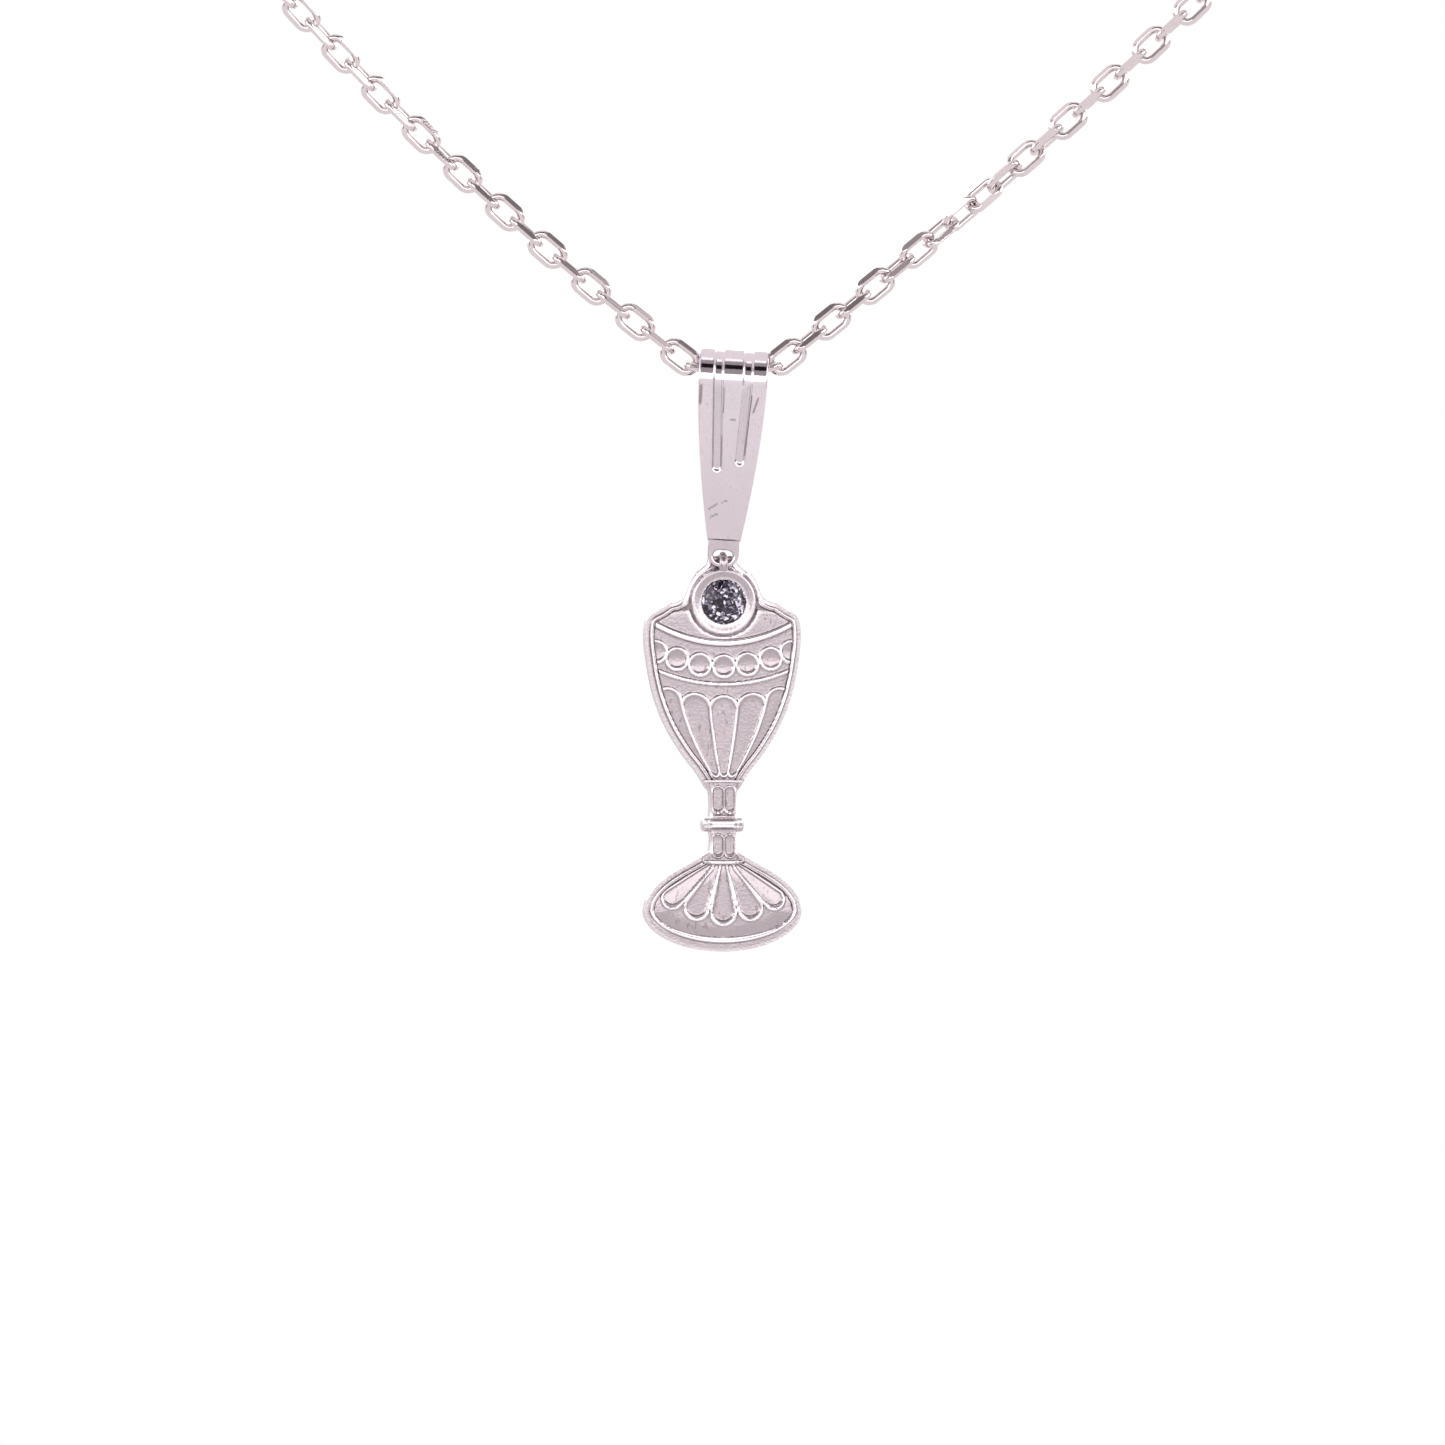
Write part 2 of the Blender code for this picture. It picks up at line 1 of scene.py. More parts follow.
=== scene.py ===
"""Looks of the chalice-and-host pendant: polished silver relief, faceted stone, bail and chain."""
import json
import math

import bmesh
import bpy
import numpy as np
from mathutils import Matrix, Vector


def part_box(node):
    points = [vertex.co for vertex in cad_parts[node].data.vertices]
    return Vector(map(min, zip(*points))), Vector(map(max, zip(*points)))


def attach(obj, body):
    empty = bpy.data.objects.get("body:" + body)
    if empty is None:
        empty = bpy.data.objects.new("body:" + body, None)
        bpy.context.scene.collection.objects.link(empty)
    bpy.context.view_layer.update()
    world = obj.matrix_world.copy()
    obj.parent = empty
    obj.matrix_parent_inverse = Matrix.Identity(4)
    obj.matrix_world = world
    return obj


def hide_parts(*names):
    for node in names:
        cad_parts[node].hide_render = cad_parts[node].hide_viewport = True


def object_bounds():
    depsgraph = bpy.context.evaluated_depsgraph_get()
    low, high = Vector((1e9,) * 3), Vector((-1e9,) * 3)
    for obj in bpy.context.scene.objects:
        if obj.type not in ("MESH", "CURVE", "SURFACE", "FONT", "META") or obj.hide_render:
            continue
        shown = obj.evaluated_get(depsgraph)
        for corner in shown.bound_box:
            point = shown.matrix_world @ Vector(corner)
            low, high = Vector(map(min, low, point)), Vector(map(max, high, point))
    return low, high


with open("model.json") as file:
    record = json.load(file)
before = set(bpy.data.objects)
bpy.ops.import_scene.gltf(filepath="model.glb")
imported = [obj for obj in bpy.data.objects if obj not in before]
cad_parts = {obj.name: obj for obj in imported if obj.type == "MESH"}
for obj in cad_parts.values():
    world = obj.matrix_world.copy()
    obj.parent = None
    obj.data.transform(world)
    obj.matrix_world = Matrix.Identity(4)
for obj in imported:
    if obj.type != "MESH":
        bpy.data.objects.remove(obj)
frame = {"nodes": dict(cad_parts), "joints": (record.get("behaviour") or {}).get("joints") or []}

CAD_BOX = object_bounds()
MM = 0.001

# ---- where things are, from the frame -----------------------------------------------------
JOINTS = {joint["name"]: joint for joint in frame["joints"]}
SEAT = Vector(JOINTS["bail_swing"]["pos_m"])               # the lowest link's centre
SWING_AXIS = Vector(JOINTS["bail_swing"]["axis"])
BAIL_LEAN = math.atan2(-SWING_AXIS.z, SWING_AXIS.x)
BAIL_TURN = math.asin(SWING_AXIS.y)
LOOP = Vector(JOINTS["medal_swing"]["pos_m"])              # centre of the medal's top loop
CLASP = Vector(JOINTS["clasp_open"]["pos_m"])
STONE_LOW, STONE_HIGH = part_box("host_stone")
HOST = (STONE_LOW + STONE_HIGH) / 2
BACK_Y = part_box("chalice_medal")[1].y

# ---- chain ----------------------------------------------------------------------------------
PITCH = 1.425 * MM
WIRE_R = 0.19 * MM
LINK_SLACK = 0.03 * MM
LINK_HALF_LENGTH = (PITCH + 2 * WIRE_R + LINK_SLACK) / 2
LINK_HALF_WIDTH = 0.535 * MM
FACET_REACH = 0.722 * MM           # how far the diamond-cut flats lie from the link's middle
SEAT_SLOPE = math.radians(11)
LEFT_SLOPE = math.radians(37)
LEFT_GAIN = math.radians(0.55)
LEFT_LINKS = 21
RIGHT_SLOPE = math.radians(38)
RIGHT_GAIN = math.radians(0.28)
RIGHT_LINKS = 21
FACE_ROLL = math.radians(7)
LEFT_TWIST = math.radians(12)
RIGHT_TWIST = math.radians(72)
LEFT_TWIST_LINKS = (2, 18)         # links between which the run turns on its own length
RIGHT_TWIST_LINKS = (5, 16)

# ---- bail -----------------------------------------------------------------------------------
SHEET = 0.30 * MM
ROLL_OUTER_R = 1.60 * MM
BAIL_TOP = LINK_HALF_WIDTH + WIRE_R + 0.05 * MM + SHEET
ROLL_Z = BAIL_TOP - ROLL_OUTER_R
LEAF_END_Z = -8.50 * MM
LEAF_END_Y = 0.33 * MM
BAIL_TOP_HALF = 1.72 * MM
BAIL_END_HALF = 0.83 * MM
BAIL_TAPER = 1.6
GROOVE_TOP_X = 0.74 * MM
GROOVE_END_X = 0.56 * MM
GROOVE_HALF = 0.24 * MM
GROOVE_DEPTH = 0.09 * MM
GROOVE_END_Z = {-1: -4.80 * MM, 1: -4.45 * MM}
EDGE_ROUND = 0.09 * MM
BAIL_COLUMNS = 96
LEAF_ROW = 0.088 * MM              # run of one row of the bail's mesh
EYELET_HALF = 0.78 * MM
EYELET_HALF_THICK = 0.15 * MM
EYELET_TOP_Z = -7.60 * MM
EYELET_SIDE_Z = -9.20 * MM
EYELET_BOTTOM_Z = -9.85 * MM
EYELET_ROUND = 0.035 * MM
EYE_Z = -9.275 * MM
EYE_HALF_X = 0.50 * MM
EYE_HALF_Z = 0.30 * MM
# handling marks on the front leaf: start x, z, end x, z and half width, in millimetres
SCRATCHES = [(-1.57, -0.85, -1.57, -1.70, 0.11), (0.98, -1.25, 0.78, -4.20, 0.05),
             (1.30, -1.35, 1.10, -2.05, 0.07), (-0.84, -6.95, -0.46, -6.70, 0.06),
             (-0.74, -7.35, -0.40, -7.17, 0.06), (-0.40, -0.90, -0.39, -2.10, 0.04),
             (-0.42, -3.30, -0.36, -4.90, 0.04), (-0.20, -6.58, 0.04, -6.50, 0.05),
             (0.00, -2.45, 0.22, -2.47, 0.05)]

# ---- medal, its plain numbers in millimetres ------------------------------------------------
FIELD_Y = -0.20 * MM               # level that the relief stands on
NECK_Y = 0.32 * MM                 # sunk level behind the eyelet
NECK_STEP_Z = -29.04
LOOP_R = 0.47 * MM
LOOP_WIRE_R = 0.19 * MM
ROW_STEP = 0.045                   # millimetres between rows along the outline
COLUMNS = 170
BACK_ROUND = 0.06
STONE_R = 1.12
BEZEL_R = 1.64
BEZEL_FOOT_R = 1.75                # where the ring's outer wall meets the plate

# silhouette from top to bottom: height and half width
NECK_AND_HALO = [(-28.20, 0.66), (-28.55, 0.78), (-28.85, 1.10), (-29.10, 1.42), (-29.50, 1.68),
                 (-29.90, 1.84), (-30.30, 2.05), (-30.50, 2.40)]
SHOULDER = [(-30.58, 2.70), (-30.85, 3.12), (-31.15, 3.64), (-31.45, 3.84)]
CUP_SIDE = [(-32.30, 3.93), (-33.55, 3.80), (-34.85, 3.55), (-35.70, 3.29), (-36.45, 2.99),
            (-37.15, 2.63), (-37.78, 2.24), (-38.35, 1.84), (-38.85, 1.44), (-39.35, 1.10),
            (-39.80, 0.84)]
STEM = [(-40.00, 0.68), (-41.28, 0.68), (-41.36, 0.98), (-41.94, 0.98), (-42.02, 0.66), (-42.95, 0.68)]
FOOT_TOP = [(-43.10, 0.86), (-43.50, 1.55), (-43.95, 2.36), (-44.35, 2.95), (-44.68, 3.33),
            (-45.00, 3.60), (-45.40, 3.84)]
FOOT_WIDE_Z = -45.90
FOOT_HALF = 3.96
FOOT_BOTTOM_Z = -47.98
FOOT_TIP_HALF = 0.05

# raised work on the front
CUP_TOP_Z = -30.20
LIP_Z = -32.56                     # lowest point of the lip's arc
LIP_RISE = 0.85                    # how much higher its ends are, at LIP_HALF to each side
LIP_HALF = 3.28
BAND_Z = -34.62                    # the lower band, drawn the same way
BAND_RISE = 0.62
BAND_HALF = 3.17
CIRCLE_R = 0.545
CIRCLE_DISH_R = 0.48
# middle and half width of each petal, as shares of the cup's half width
CUP_PETALS = [(0, 0.24), (0.4825, 0.2425), (-0.4825, 0.2425), (0.90, 0.175), (-0.90, 0.175)]
PETAL_SPREAD = 2.85                # half width of the cup where the petals' heads are
PETAL_HEAD_Z = -35.22
PETAL_FOOT_Z = -38.95
STEM_TOP_Z = -39.40
STEM_BOTTOM_Z = -43.60
STEM_HALF = 1.05
FLUTES = [(-39.72, -41.08), (-42.12, -43.28)]
FLUTE_X = 0.30
FLUTE_HALF = 0.27
KNOP_Z = -41.62
# height on the stem, rise and half width of each collar
COLLARS = [(-39.45, 0.12, 0.09), (-41.24, 0.12, 0.07), (-43.52, 0.16, 0.12)]
FAN_Z = -43.75                     # where the foot's petals start
FAN_HALF = 0.17
CIRCLES = [(-3.42, -33.00), (-2.35, -33.36), (-1.20, -33.64), (0.0, -33.72), (1.20, -33.62),
           (2.38, -33.34), (3.42, -33.00)]
# start x, end x, end z and end radius of each petal on the foot
FOOT_PETALS = [(0.0, -0.02, -46.02, 0.62), (-0.34, -1.36, -45.78, 0.60), (0.34, 1.34, -45.80, 0.60),
               (-0.70, -2.58, -45.32, 0.50), (0.70, 2.54, -45.36, 0.50)]

# ---- end fittings ---------------------------------------------------------------------------
RING_WIRE_R = 0.249 * MM
RING_R = 1.10 * MM
CLASP_R = 2.10 * MM
CASE_OUTER_R = 0.545 * MM
CASE_INNER_R = 0.43 * MM
CASE_COLLAR = 0.03 * MM            # how far the rolled ends stand out of the tube
COLLAR_DEGREES = 7
SLOT_START = math.radians(66)
SLOT_END = math.radians(122)
BOLT_R = 0.34 * MM
GAP_START = math.radians(-20)
GAP_END = math.radians(45)
BOLT_TAIL = math.radians(95)
LEVER_ANGLE = math.radians(74)
TAB_R = 0.62 * MM
TAB_WIRE_R = 0.17 * MM
TAB_GAP = 0.02 * MM
LEVER_R = 0.12 * MM
LEVER_LENGTH = 0.60 * MM
LEVER_MIDDLE = 0.54 * MM           # outside the clasp ring's centre line
BALL_R = 0.17 * MM

# ---- camera ---------------------------------------------------------------------------------
VIEW_AZIMUTH = math.radians(-8)
VIEW_WIDTH = 72.25 * MM
VIEW_CENTRE = Vector((0, 0, -36.53 * MM))
CAMERA_DISTANCE = 0.90
SENSOR = 36.0

# ---- stage ----------------------------------------------------------------------------------
FLOOR_DROP = 62 * MM
FLOOR_R = 0.42
LIGHT_SIZE = 0.4
LIGHT_POWER = 0.8
SOFT_LIGHTS = {"soft_left": (-0.6, -0.5, 0.30), "soft_right": (0.7, -0.4, 0.35)}

scene = bpy.context.scene


# ---- small tools ----------------------------------------------------------------------------
def ease(value):
    """Soft step from 0 to 1."""
    value = np.clip(value, 0.0, 1.0)
    return value * value * (3 - 2 * value)


def bump(distance, half):
    """Ridge with a level top and steep sides: 1 on its line, 0 beyond half its width."""
    return ease((1 - np.abs(distance) / half) / 0.55)


def new_object(name, mesh, body, stands_for=None):
    """Piece that rides on a body and may stand for a CAD node."""
    made = bpy.data.objects.new(name, mesh)
    scene.collection.objects.link(made)
    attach(made, body)
    if stands_for:
        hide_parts(stands_for)
    return made


def mesh_from_arrays(name, points, faces):
    mesh = bpy.data.meshes.new(name)
    mesh.from_pydata([tuple(point) for point in points], [], [tuple(face) for face in faces])
    mesh.validate()
    return mesh


def finish_mesh(mesh, material, angle=40):
    mesh.materials.clear()
    mesh.materials.append(material)
    mesh.shade_smooth()
    mesh.set_sharp_from_angle(angle=math.radians(angle))


def outward(mesh):
    """Turn every face outward."""
    made = bmesh.new()
    made.from_mesh(mesh)
    bmesh.ops.recalc_face_normals(made, faces=made.faces)
    made.to_mesh(mesh)
    made.free()


def grid_faces(rows, columns, start=0, wrap_rows=False, wrap_columns=False):
    faces = []
    row_count = rows if wrap_rows else rows - 1
    column_count = columns if wrap_columns else columns - 1
    for row in range(row_count):
        below = start + ((row + 1) % rows) * columns
        here = start + row * columns
        for column in range(column_count):
            after = (column + 1) % columns
            faces.append((here + column, here + after, below + after, below + column))
    return faces


def tube(name, centres, radius, sides, closed=True, shape=None):
    """Round wire along centres, which lie in the XZ plane; shape may move its points."""
    centres = [Vector(point) for point in centres]
    count = len(centres)
    points = []
    for step in range(count):
        before = centres[(step - 1) % count] if closed else centres[max(step - 1, 0)]
        after = centres[(step + 1) % count] if closed else centres[min(step + 1, count - 1)]
        along = (after - before).normalized()
        side = along.cross(Vector((0, 1, 0))).normalized()
        up = side.cross(along).normalized()
        for turn in range(sides):
            angle = 2 * math.pi * turn / sides
            point = centres[step] + side * radius * math.cos(angle) + up * radius * math.sin(angle)
            points.append(shape(point) if shape else point)
    faces = grid_faces(count, sides, wrap_rows=closed, wrap_columns=True)
    if not closed:
        faces.append(tuple(range(sides)))
        faces.append(tuple(range((count - 1) * sides, count * sides))[::-1])
    mesh = mesh_from_arrays(name, points, faces)
    outward(mesh)
    return mesh


def circle(radius, steps, start=0.0, end=2 * math.pi, closed=True):
    count = steps if closed else steps + 1
    return [(radius * math.cos(start + (end - start) * step / steps), 0,
             radius * math.sin(start + (end - start) * step / steps)) for step in range(count)]


# ---- materials ------------------------------------------------------------------------------
def node(tree, kind, **values):
    made = tree.nodes.new(kind)
    for key, value in values.items():
        setattr(made, key, value)
    return made


def connect(tree, value, socket):
    """Link a socket to the input, or set the input when the value is a plain one."""
    if isinstance(value, bpy.types.NodeSocket):
        tree.links.new(value, socket)
    else:
        socket.default_value = value


def mix_colour(tree, factor, first, second, blend="MIX"):
    made = node(tree, "ShaderNodeMix", data_type="RGBA", blend_type=blend)
    connect(tree, factor, made.inputs["Factor"])
    connect(tree, first, made.inputs["A"])
    connect(tree, second, made.inputs["B"])
    return made.outputs["Result"]


def step_up(tree, value, low, high):
    """0 below low, 1 above high, soft between."""
    made = node(tree, "ShaderNodeMapRange", interpolation_type="SMOOTHSTEP")
    made.inputs["From Min"].default_value = low
    made.inputs["From Max"].default_value = high
    tree.links.new(value, made.inputs["Value"])
    return made.outputs["Result"]


def maths(tree, operation, first, second=0.0):
    made = node(tree, "ShaderNodeMath", operation=operation)
    connect(tree, first, made.inputs[0])
    connect(tree, second, made.inputs[1])
    return made.outputs["Value"]


def ramp(tree, factor, stops):
    made = node(tree, "ShaderNodeValToRGB")
    elements = made.color_ramp.elements
    while len(elements) < len(stops):
        elements.new(0.5)
    for element, (place, shade) in zip(elements, stops):
        element.position = place
        element.color = shade if isinstance(shade, tuple) else (shade, shade, shade, 1)
    tree.links.new(factor, made.inputs["Fac"])
    return made.outputs["Color"]


def noise(tree, place, scale, detail=3.0):
    made = node(tree, "ShaderNodeTexNoise")
    made.inputs["Scale"].default_value = scale
    made.inputs["Detail"].default_value = detail
    tree.links.new(place, made.inputs["Vector"])
    return made.outputs["Fac"]


def silver_material(name, tint, roughness, grain, flecks=None):
    """Silver with cloudy tint and gloss and fine grain; flecks adds dark flecks and turns on painted
    highlights and painted shade, the shade mixed with tarnish and scratches.
    """
    material = bpy.data.materials.new(name)
    material.use_nodes = True
    tree = material.node_tree
    shader = tree.nodes["Principled BSDF"]
    place = node(tree, "ShaderNodeTexCoord").outputs["Object"]
    shader.inputs["Metallic"].default_value = 1.0
    cloud = noise(tree, place, 900, 5)
    fine = noise(tree, place, 8500, 3)
    colour = mix_colour(tree, cloud, (*(shade * 0.92 for shade in tint), 1),
                        (*(min(shade * 1.06, 0.98) for shade in tint), 1))
    if flecks is not None:
        upright = node(tree, "ShaderNodeVectorMath", operation="MULTIPLY")
        upright.inputs[1].default_value = (1, 1, 0.35)
        tree.links.new(place, upright.inputs[0])
        streak = noise(tree, upright.outputs["Vector"], 7000, 4)
        speck = maths(tree, "MULTIPLY", step_up(tree, streak, 0.57, 0.66), step_up(tree, cloud, 0.46, 0.58))
        colour = mix_colour(tree, maths(tree, "MULTIPLY", speck, flecks), colour, (0.22, 0.18, 0.19, 1))
        # painted highlight: a field stored on the mesh lightens the colour towards near white
        painted_highlight = node(tree, "ShaderNodeAttribute", attribute_name="painted_highlight").outputs["Fac"]
        colour = mix_colour(tree, painted_highlight, colour, (0.97, 0.93, 0.95, 1))
        # painted shade, mixed with tarnish and scratch marks: a field stored on the mesh darkens the colour
        depth = node(tree, "ShaderNodeAttribute", attribute_name="painted_shade_and_wear").outputs["Fac"]
        colour = mix_colour(tree, depth, colour, (0.35, 0.30, 0.32, 1))
    tree.links.new(colour, shader.inputs["Base Color"])
    gloss = node(tree, "ShaderNodeMapRange")
    gloss.inputs["To Min"].default_value = roughness * 0.6
    gloss.inputs["To Max"].default_value = roughness * 1.8
    tree.links.new(cloud, gloss.inputs["Value"])
    tree.links.new(gloss.outputs["Result"], shader.inputs["Roughness"])
    relief = node(tree, "ShaderNodeBump")
    relief.inputs["Strength"].default_value = 1.0
    relief.inputs["Distance"].default_value = grain
    tree.links.new(fine, relief.inputs["Height"])
    tree.links.new(relief.outputs["Normal"], shader.inputs["Normal"])
    return material


def stone_material():
    """Stone with painted reflections: mostly dark, with small bright shards that paint the light thrown
    back from inside.
    """
    material = bpy.data.materials.new("stone_painted_sparkle")
    material.use_nodes = True
    tree = material.node_tree
    shader = tree.nodes["Principled BSDF"]
    place = node(tree, "ShaderNodeTexCoord").outputs["Object"]
    wander = node(tree, "ShaderNodeTexNoise")
    wander.inputs["Scale"].default_value = 5200
    wander.inputs["Detail"].default_value = 2
    tree.links.new(place, wander.inputs["Vector"])
    spread = node(tree, "ShaderNodeVectorMath", operation="SCALE")
    spread.inputs["Scale"].default_value = 0.0003
    tree.links.new(wander.outputs["Color"], spread.inputs[0])
    moved = node(tree, "ShaderNodeVectorMath", operation="ADD")
    tree.links.new(place, moved.inputs[0])
    tree.links.new(spread.outputs["Vector"], moved.inputs[1])
    cells = node(tree, "ShaderNodeTexVoronoi")
    cells.inputs["Scale"].default_value = 7600
    tree.links.new(moved.outputs["Vector"], cells.inputs["Vector"])
    shard = node(tree, "ShaderNodeSeparateColor")
    tree.links.new(cells.outputs["Color"], shard.inputs["Color"])
    # painted reflections: each cell gets a shade from near black to near white
    shade = ramp(tree, shard.outputs["Red"], [
        (0.0, (0.003, 0.002, 0.006, 1)), (0.45, (0.014, 0.010, 0.022, 1)), (0.62, (0.07, 0.06, 0.10, 1)),
        (0.82, (0.24, 0.21, 0.29, 1)), (0.94, (0.95, 0.93, 1.0, 1))])
    tree.links.new(shade, shader.inputs["Base Color"])
    shader.inputs["Metallic"].default_value = 0.25
    shader.inputs["IOR"].default_value = 1.6
    shader.inputs["Roughness"].default_value = 0.05
    return material


def plain_material(name, colour, roughness):
    """Stage material with a faint mottling."""
    material = bpy.data.materials.new(name)
    material.use_nodes = True
    tree = material.node_tree
    shader = tree.nodes["Principled BSDF"]
    cloud = node(tree, "ShaderNodeTexNoise")
    cloud.inputs["Scale"].default_value = 6
    shade = mix_colour(tree, cloud.outputs["Fac"], (*colour, 1), (*(part * 0.98 for part in colour), 1))
    tree.links.new(shade, shader.inputs["Base Color"])
    shader.inputs["Roughness"].default_value = roughness
    return material


# ---- medal, worked out in millimetres -------------------------------------------------------
def outline_points():
    """Half outline (half width, height) in millimetres, top to bottom, evenly spaced."""
    depth = FOOT_WIDE_Z - FOOT_BOTTOM_Z
    corners = [(half, z) for z, half in NECK_AND_HALO + SHOULDER + CUP_SIDE + STEM + FOOT_TOP]
    curve = smooth_path(corners)
    for step in range(1, 61):
        angle = math.pi / 2 * step / 60
        curve.append((FOOT_HALF * math.cos(angle), FOOT_WIDE_Z - depth * math.sin(angle)))
    return even_spacing(np.array(curve), ROW_STEP)


def smooth_path(corners, steps=8):
    """Points on a soft curve through the corners that never swings past them."""
    points = []
    count = len(corners)
    for index in range(count - 1):
        before = np.array(corners[max(index - 1, 0)])
        start = np.array(corners[index])
        end = np.array(corners[index + 1])
        after = np.array(corners[min(index + 2, count - 1)])
        length = np.linalg.norm(end - start)
        leave = (end - before) / max(np.linalg.norm(end - before), 1e-9) * length
        arrive = (after - start) / max(np.linalg.norm(after - start), 1e-9) * length
        for step in range(steps):
            t = step / steps
            points.append(tuple((2 * t**3 - 3 * t**2 + 1) * start + (t**3 - 2 * t**2 + t) * leave
                                + (3 * t**2 - 2 * t**3) * end + (t**3 - t**2) * arrive))
    points.append(tuple(corners[-1]))
    return points


def even_spacing(curve, step):
    lengths = np.concatenate([[0], np.cumsum(np.linalg.norm(np.diff(curve, axis=0), axis=1))])
    count = int(lengths[-1] / step)
    wanted = np.linspace(0, lengths[-1], count + 1)
    return np.stack([np.interp(wanted, lengths, curve[:, 0]), np.interp(wanted, lengths, curve[:, 1])], 1)


def distance_to_outline(x, z, outline):
    """Distance in millimetres from each point to the nearest place on the outline."""
    start = outline[:-1]
    run = outline[1:] - start
    size = (run * run).sum(axis=1)
    nearest = np.full(x.shape, 1e9)
    flat_x = np.abs(x).ravel()
    flat_z = z.ravel()
    flat = nearest.ravel()
    chunk = 4000
    for first in range(0, flat_x.size, chunk):
        px = flat_x[first:first + chunk, None]
        pz = flat_z[first:first + chunk, None]
        share = ((px - start[:, 0]) * run[:, 0] + (pz - start[:, 1]) * run[:, 1]) / size
        share = np.clip(share, 0, 1)
        gap_x = px - start[:, 0] - share * run[:, 0]
        gap_z = pz - start[:, 1] - share * run[:, 1]
        flat[first:first + chunk] = np.sqrt((gap_x**2 + gap_z**2).min(axis=1))
    return flat.reshape(x.shape)


def border_width(z):
    """Distance from the outline to the inner edge of the border, wider under the foot."""
    return 0.42 + 0.30 * ease((-45.7 - z) / 1.8)


def border_relief(z, edge):
    """Low flange round the whole medal with a raised bead inside it."""
    under_foot = ease((-46.2 - z) / 1.2)
    middle = border_width(z) - 0.09 - 0.05 * under_foot - 0.16 * ease((z + 30.7) / 0.5)
    half = 0.13 + 0.08 * under_foot
    flange = 0.03 - 0.10 * (1 - ease(edge / 0.06))
    bead = 0.20 * bump(edge - middle, half)
    return np.where(edge < middle, np.maximum(flange, bead + 0.03), bead)


def dish(reach, deep, power=3):
    """Hollow that is deepest in the middle and comes up more steeply at its rim."""
    return -deep * (1 - np.clip(reach, 0, 1)**power)


def host_relief(x, z):
    """Bowl-shaped ring that climbs outward from the stone, and the pocket under the stone."""
    reach = np.hypot(x, z - HOST.z / MM)
    climb = np.clip((reach - STONE_R) / (BEZEL_R - 0.08 - STONE_R), 0, 1)
    bowl = 0.30 + 0.07 * climb**1.5
    wall = ease((BEZEL_FOOT_R - reach) / 0.22)
    pocket = -0.75 * ease((STONE_R - 0.02 - reach) / 0.05)
    return reach < BEZEL_FOOT_R, 0.03 + (bowl - 0.03) * wall + pocket


def cup_relief(x, z, half, edge):
    """Lip, frieze of dished circles, and five petals that run down to the stem."""
    dome = 0.08 + 0.16 * np.sqrt(np.clip(1 - (x / np.maximum(half, 0.3))**2, 0, 1))
    lip_z = LIP_Z + LIP_RISE * (x / LIP_HALF)**2
    band_z = BAND_Z + BAND_RISE * (x / BAND_HALF)**2
    relief = dome + 0.12 * bump(z - lip_z, 0.19) + 0.10 * bump(z - band_z, 0.12)
    frieze = (z < lip_z - 0.17) & (z > band_z + 0.10)
    relief = relief + np.where(frieze, circle_relief(x, z) - 0.03, 0)
    relief = np.where(z < band_z - 0.12, dome + petal_relief(x, z, half), relief)
    return relief * ease((edge - border_width(z) + 0.04) / 0.10) * ease((CUP_TOP_Z - z) / 0.9)


def circle_relief(x, z):
    """Row of dished circles, their rims thicker below."""
    rise = np.zeros_like(x)
    sunk = np.zeros_like(x)
    for place_x, place_z in CIRCLES:
        reach = np.hypot(x - place_x, z - place_z)
        low = ease((place_z - z) / 0.5)
        rim = bump(reach - CIRCLE_R + 0.03 * low, 0.09 + 0.04 * low)
        rise = np.maximum(rise, (0.08 + 0.02 * low) * rim)
        sunk = np.where(reach < CIRCLE_DISH_R, dish(reach / CIRCLE_DISH_R, 0.05, 2), sunk)
    return rise + sunk


def petal_relief(x, z, half):
    """Five dished petals, each with a raised outline, round heads and pointed feet."""
    inner = np.maximum(half - 0.40, 0.2)
    rise = np.zeros_like(x)
    sunk = np.zeros_like(x)
    for middle, wide in CUP_PETALS:
        head_r = wide * PETAL_SPREAD
        head_z = PETAL_HEAD_Z + 0.55 * (middle * PETAL_SPREAD / 3.0)**2 - head_r
        across = (x / inner - middle) / wide
        up = np.clip(z - head_z, 0, None) / head_r
        down = np.clip(PETAL_FOOT_Z - z, 0, None) / 0.25
        reach = np.sqrt(across**2 + up**2 + down**2)
        gap = (1 - reach) * np.minimum(wide * inner, head_r)
        rise = np.maximum(rise, 0.08 * bump(gap, 0.10))
        sunk = np.where(reach < 1, dish(reach, 0.035, 6), sunk)
    return rise + sunk


def stem_relief(x, z):
    """Two lengths of stem, each with a pair of dished flutes, a knop between, collars at the ends."""
    relief = 0.10 + 0.20 * np.sqrt(np.clip(1 - (x / 0.78)**2, 0, 1))
    for top, bottom in FLUTES:
        for side in (-FLUTE_X, FLUTE_X):
            up = np.clip(z - top + 0.2, 0, None) / 0.2
            down = np.clip(bottom + 0.25 - z, 0, None) / 0.25
            reach = np.sqrt(((x - side) / FLUTE_HALF)**2 + up**2 + down**2)
            gap = (1 - reach) * FLUTE_HALF
            low = ease((bottom + 0.35 - z) / 0.25)
            ridge = (0.06 + 0.06 * low) * bump(gap - 0.06 * low, 0.07 + 0.07 * low)
            relief = relief + ridge + np.where(reach < 1, dish(reach, 0.06), 0)
    raised = 0.26 * bump(z - KNOP_Z, 0.26)
    for place_z, height, wide in COLLARS:
        raised = raised + height * bump(z - place_z, wide)
    return relief + raised * np.sqrt(np.clip(1 - x**2, 0, 1))


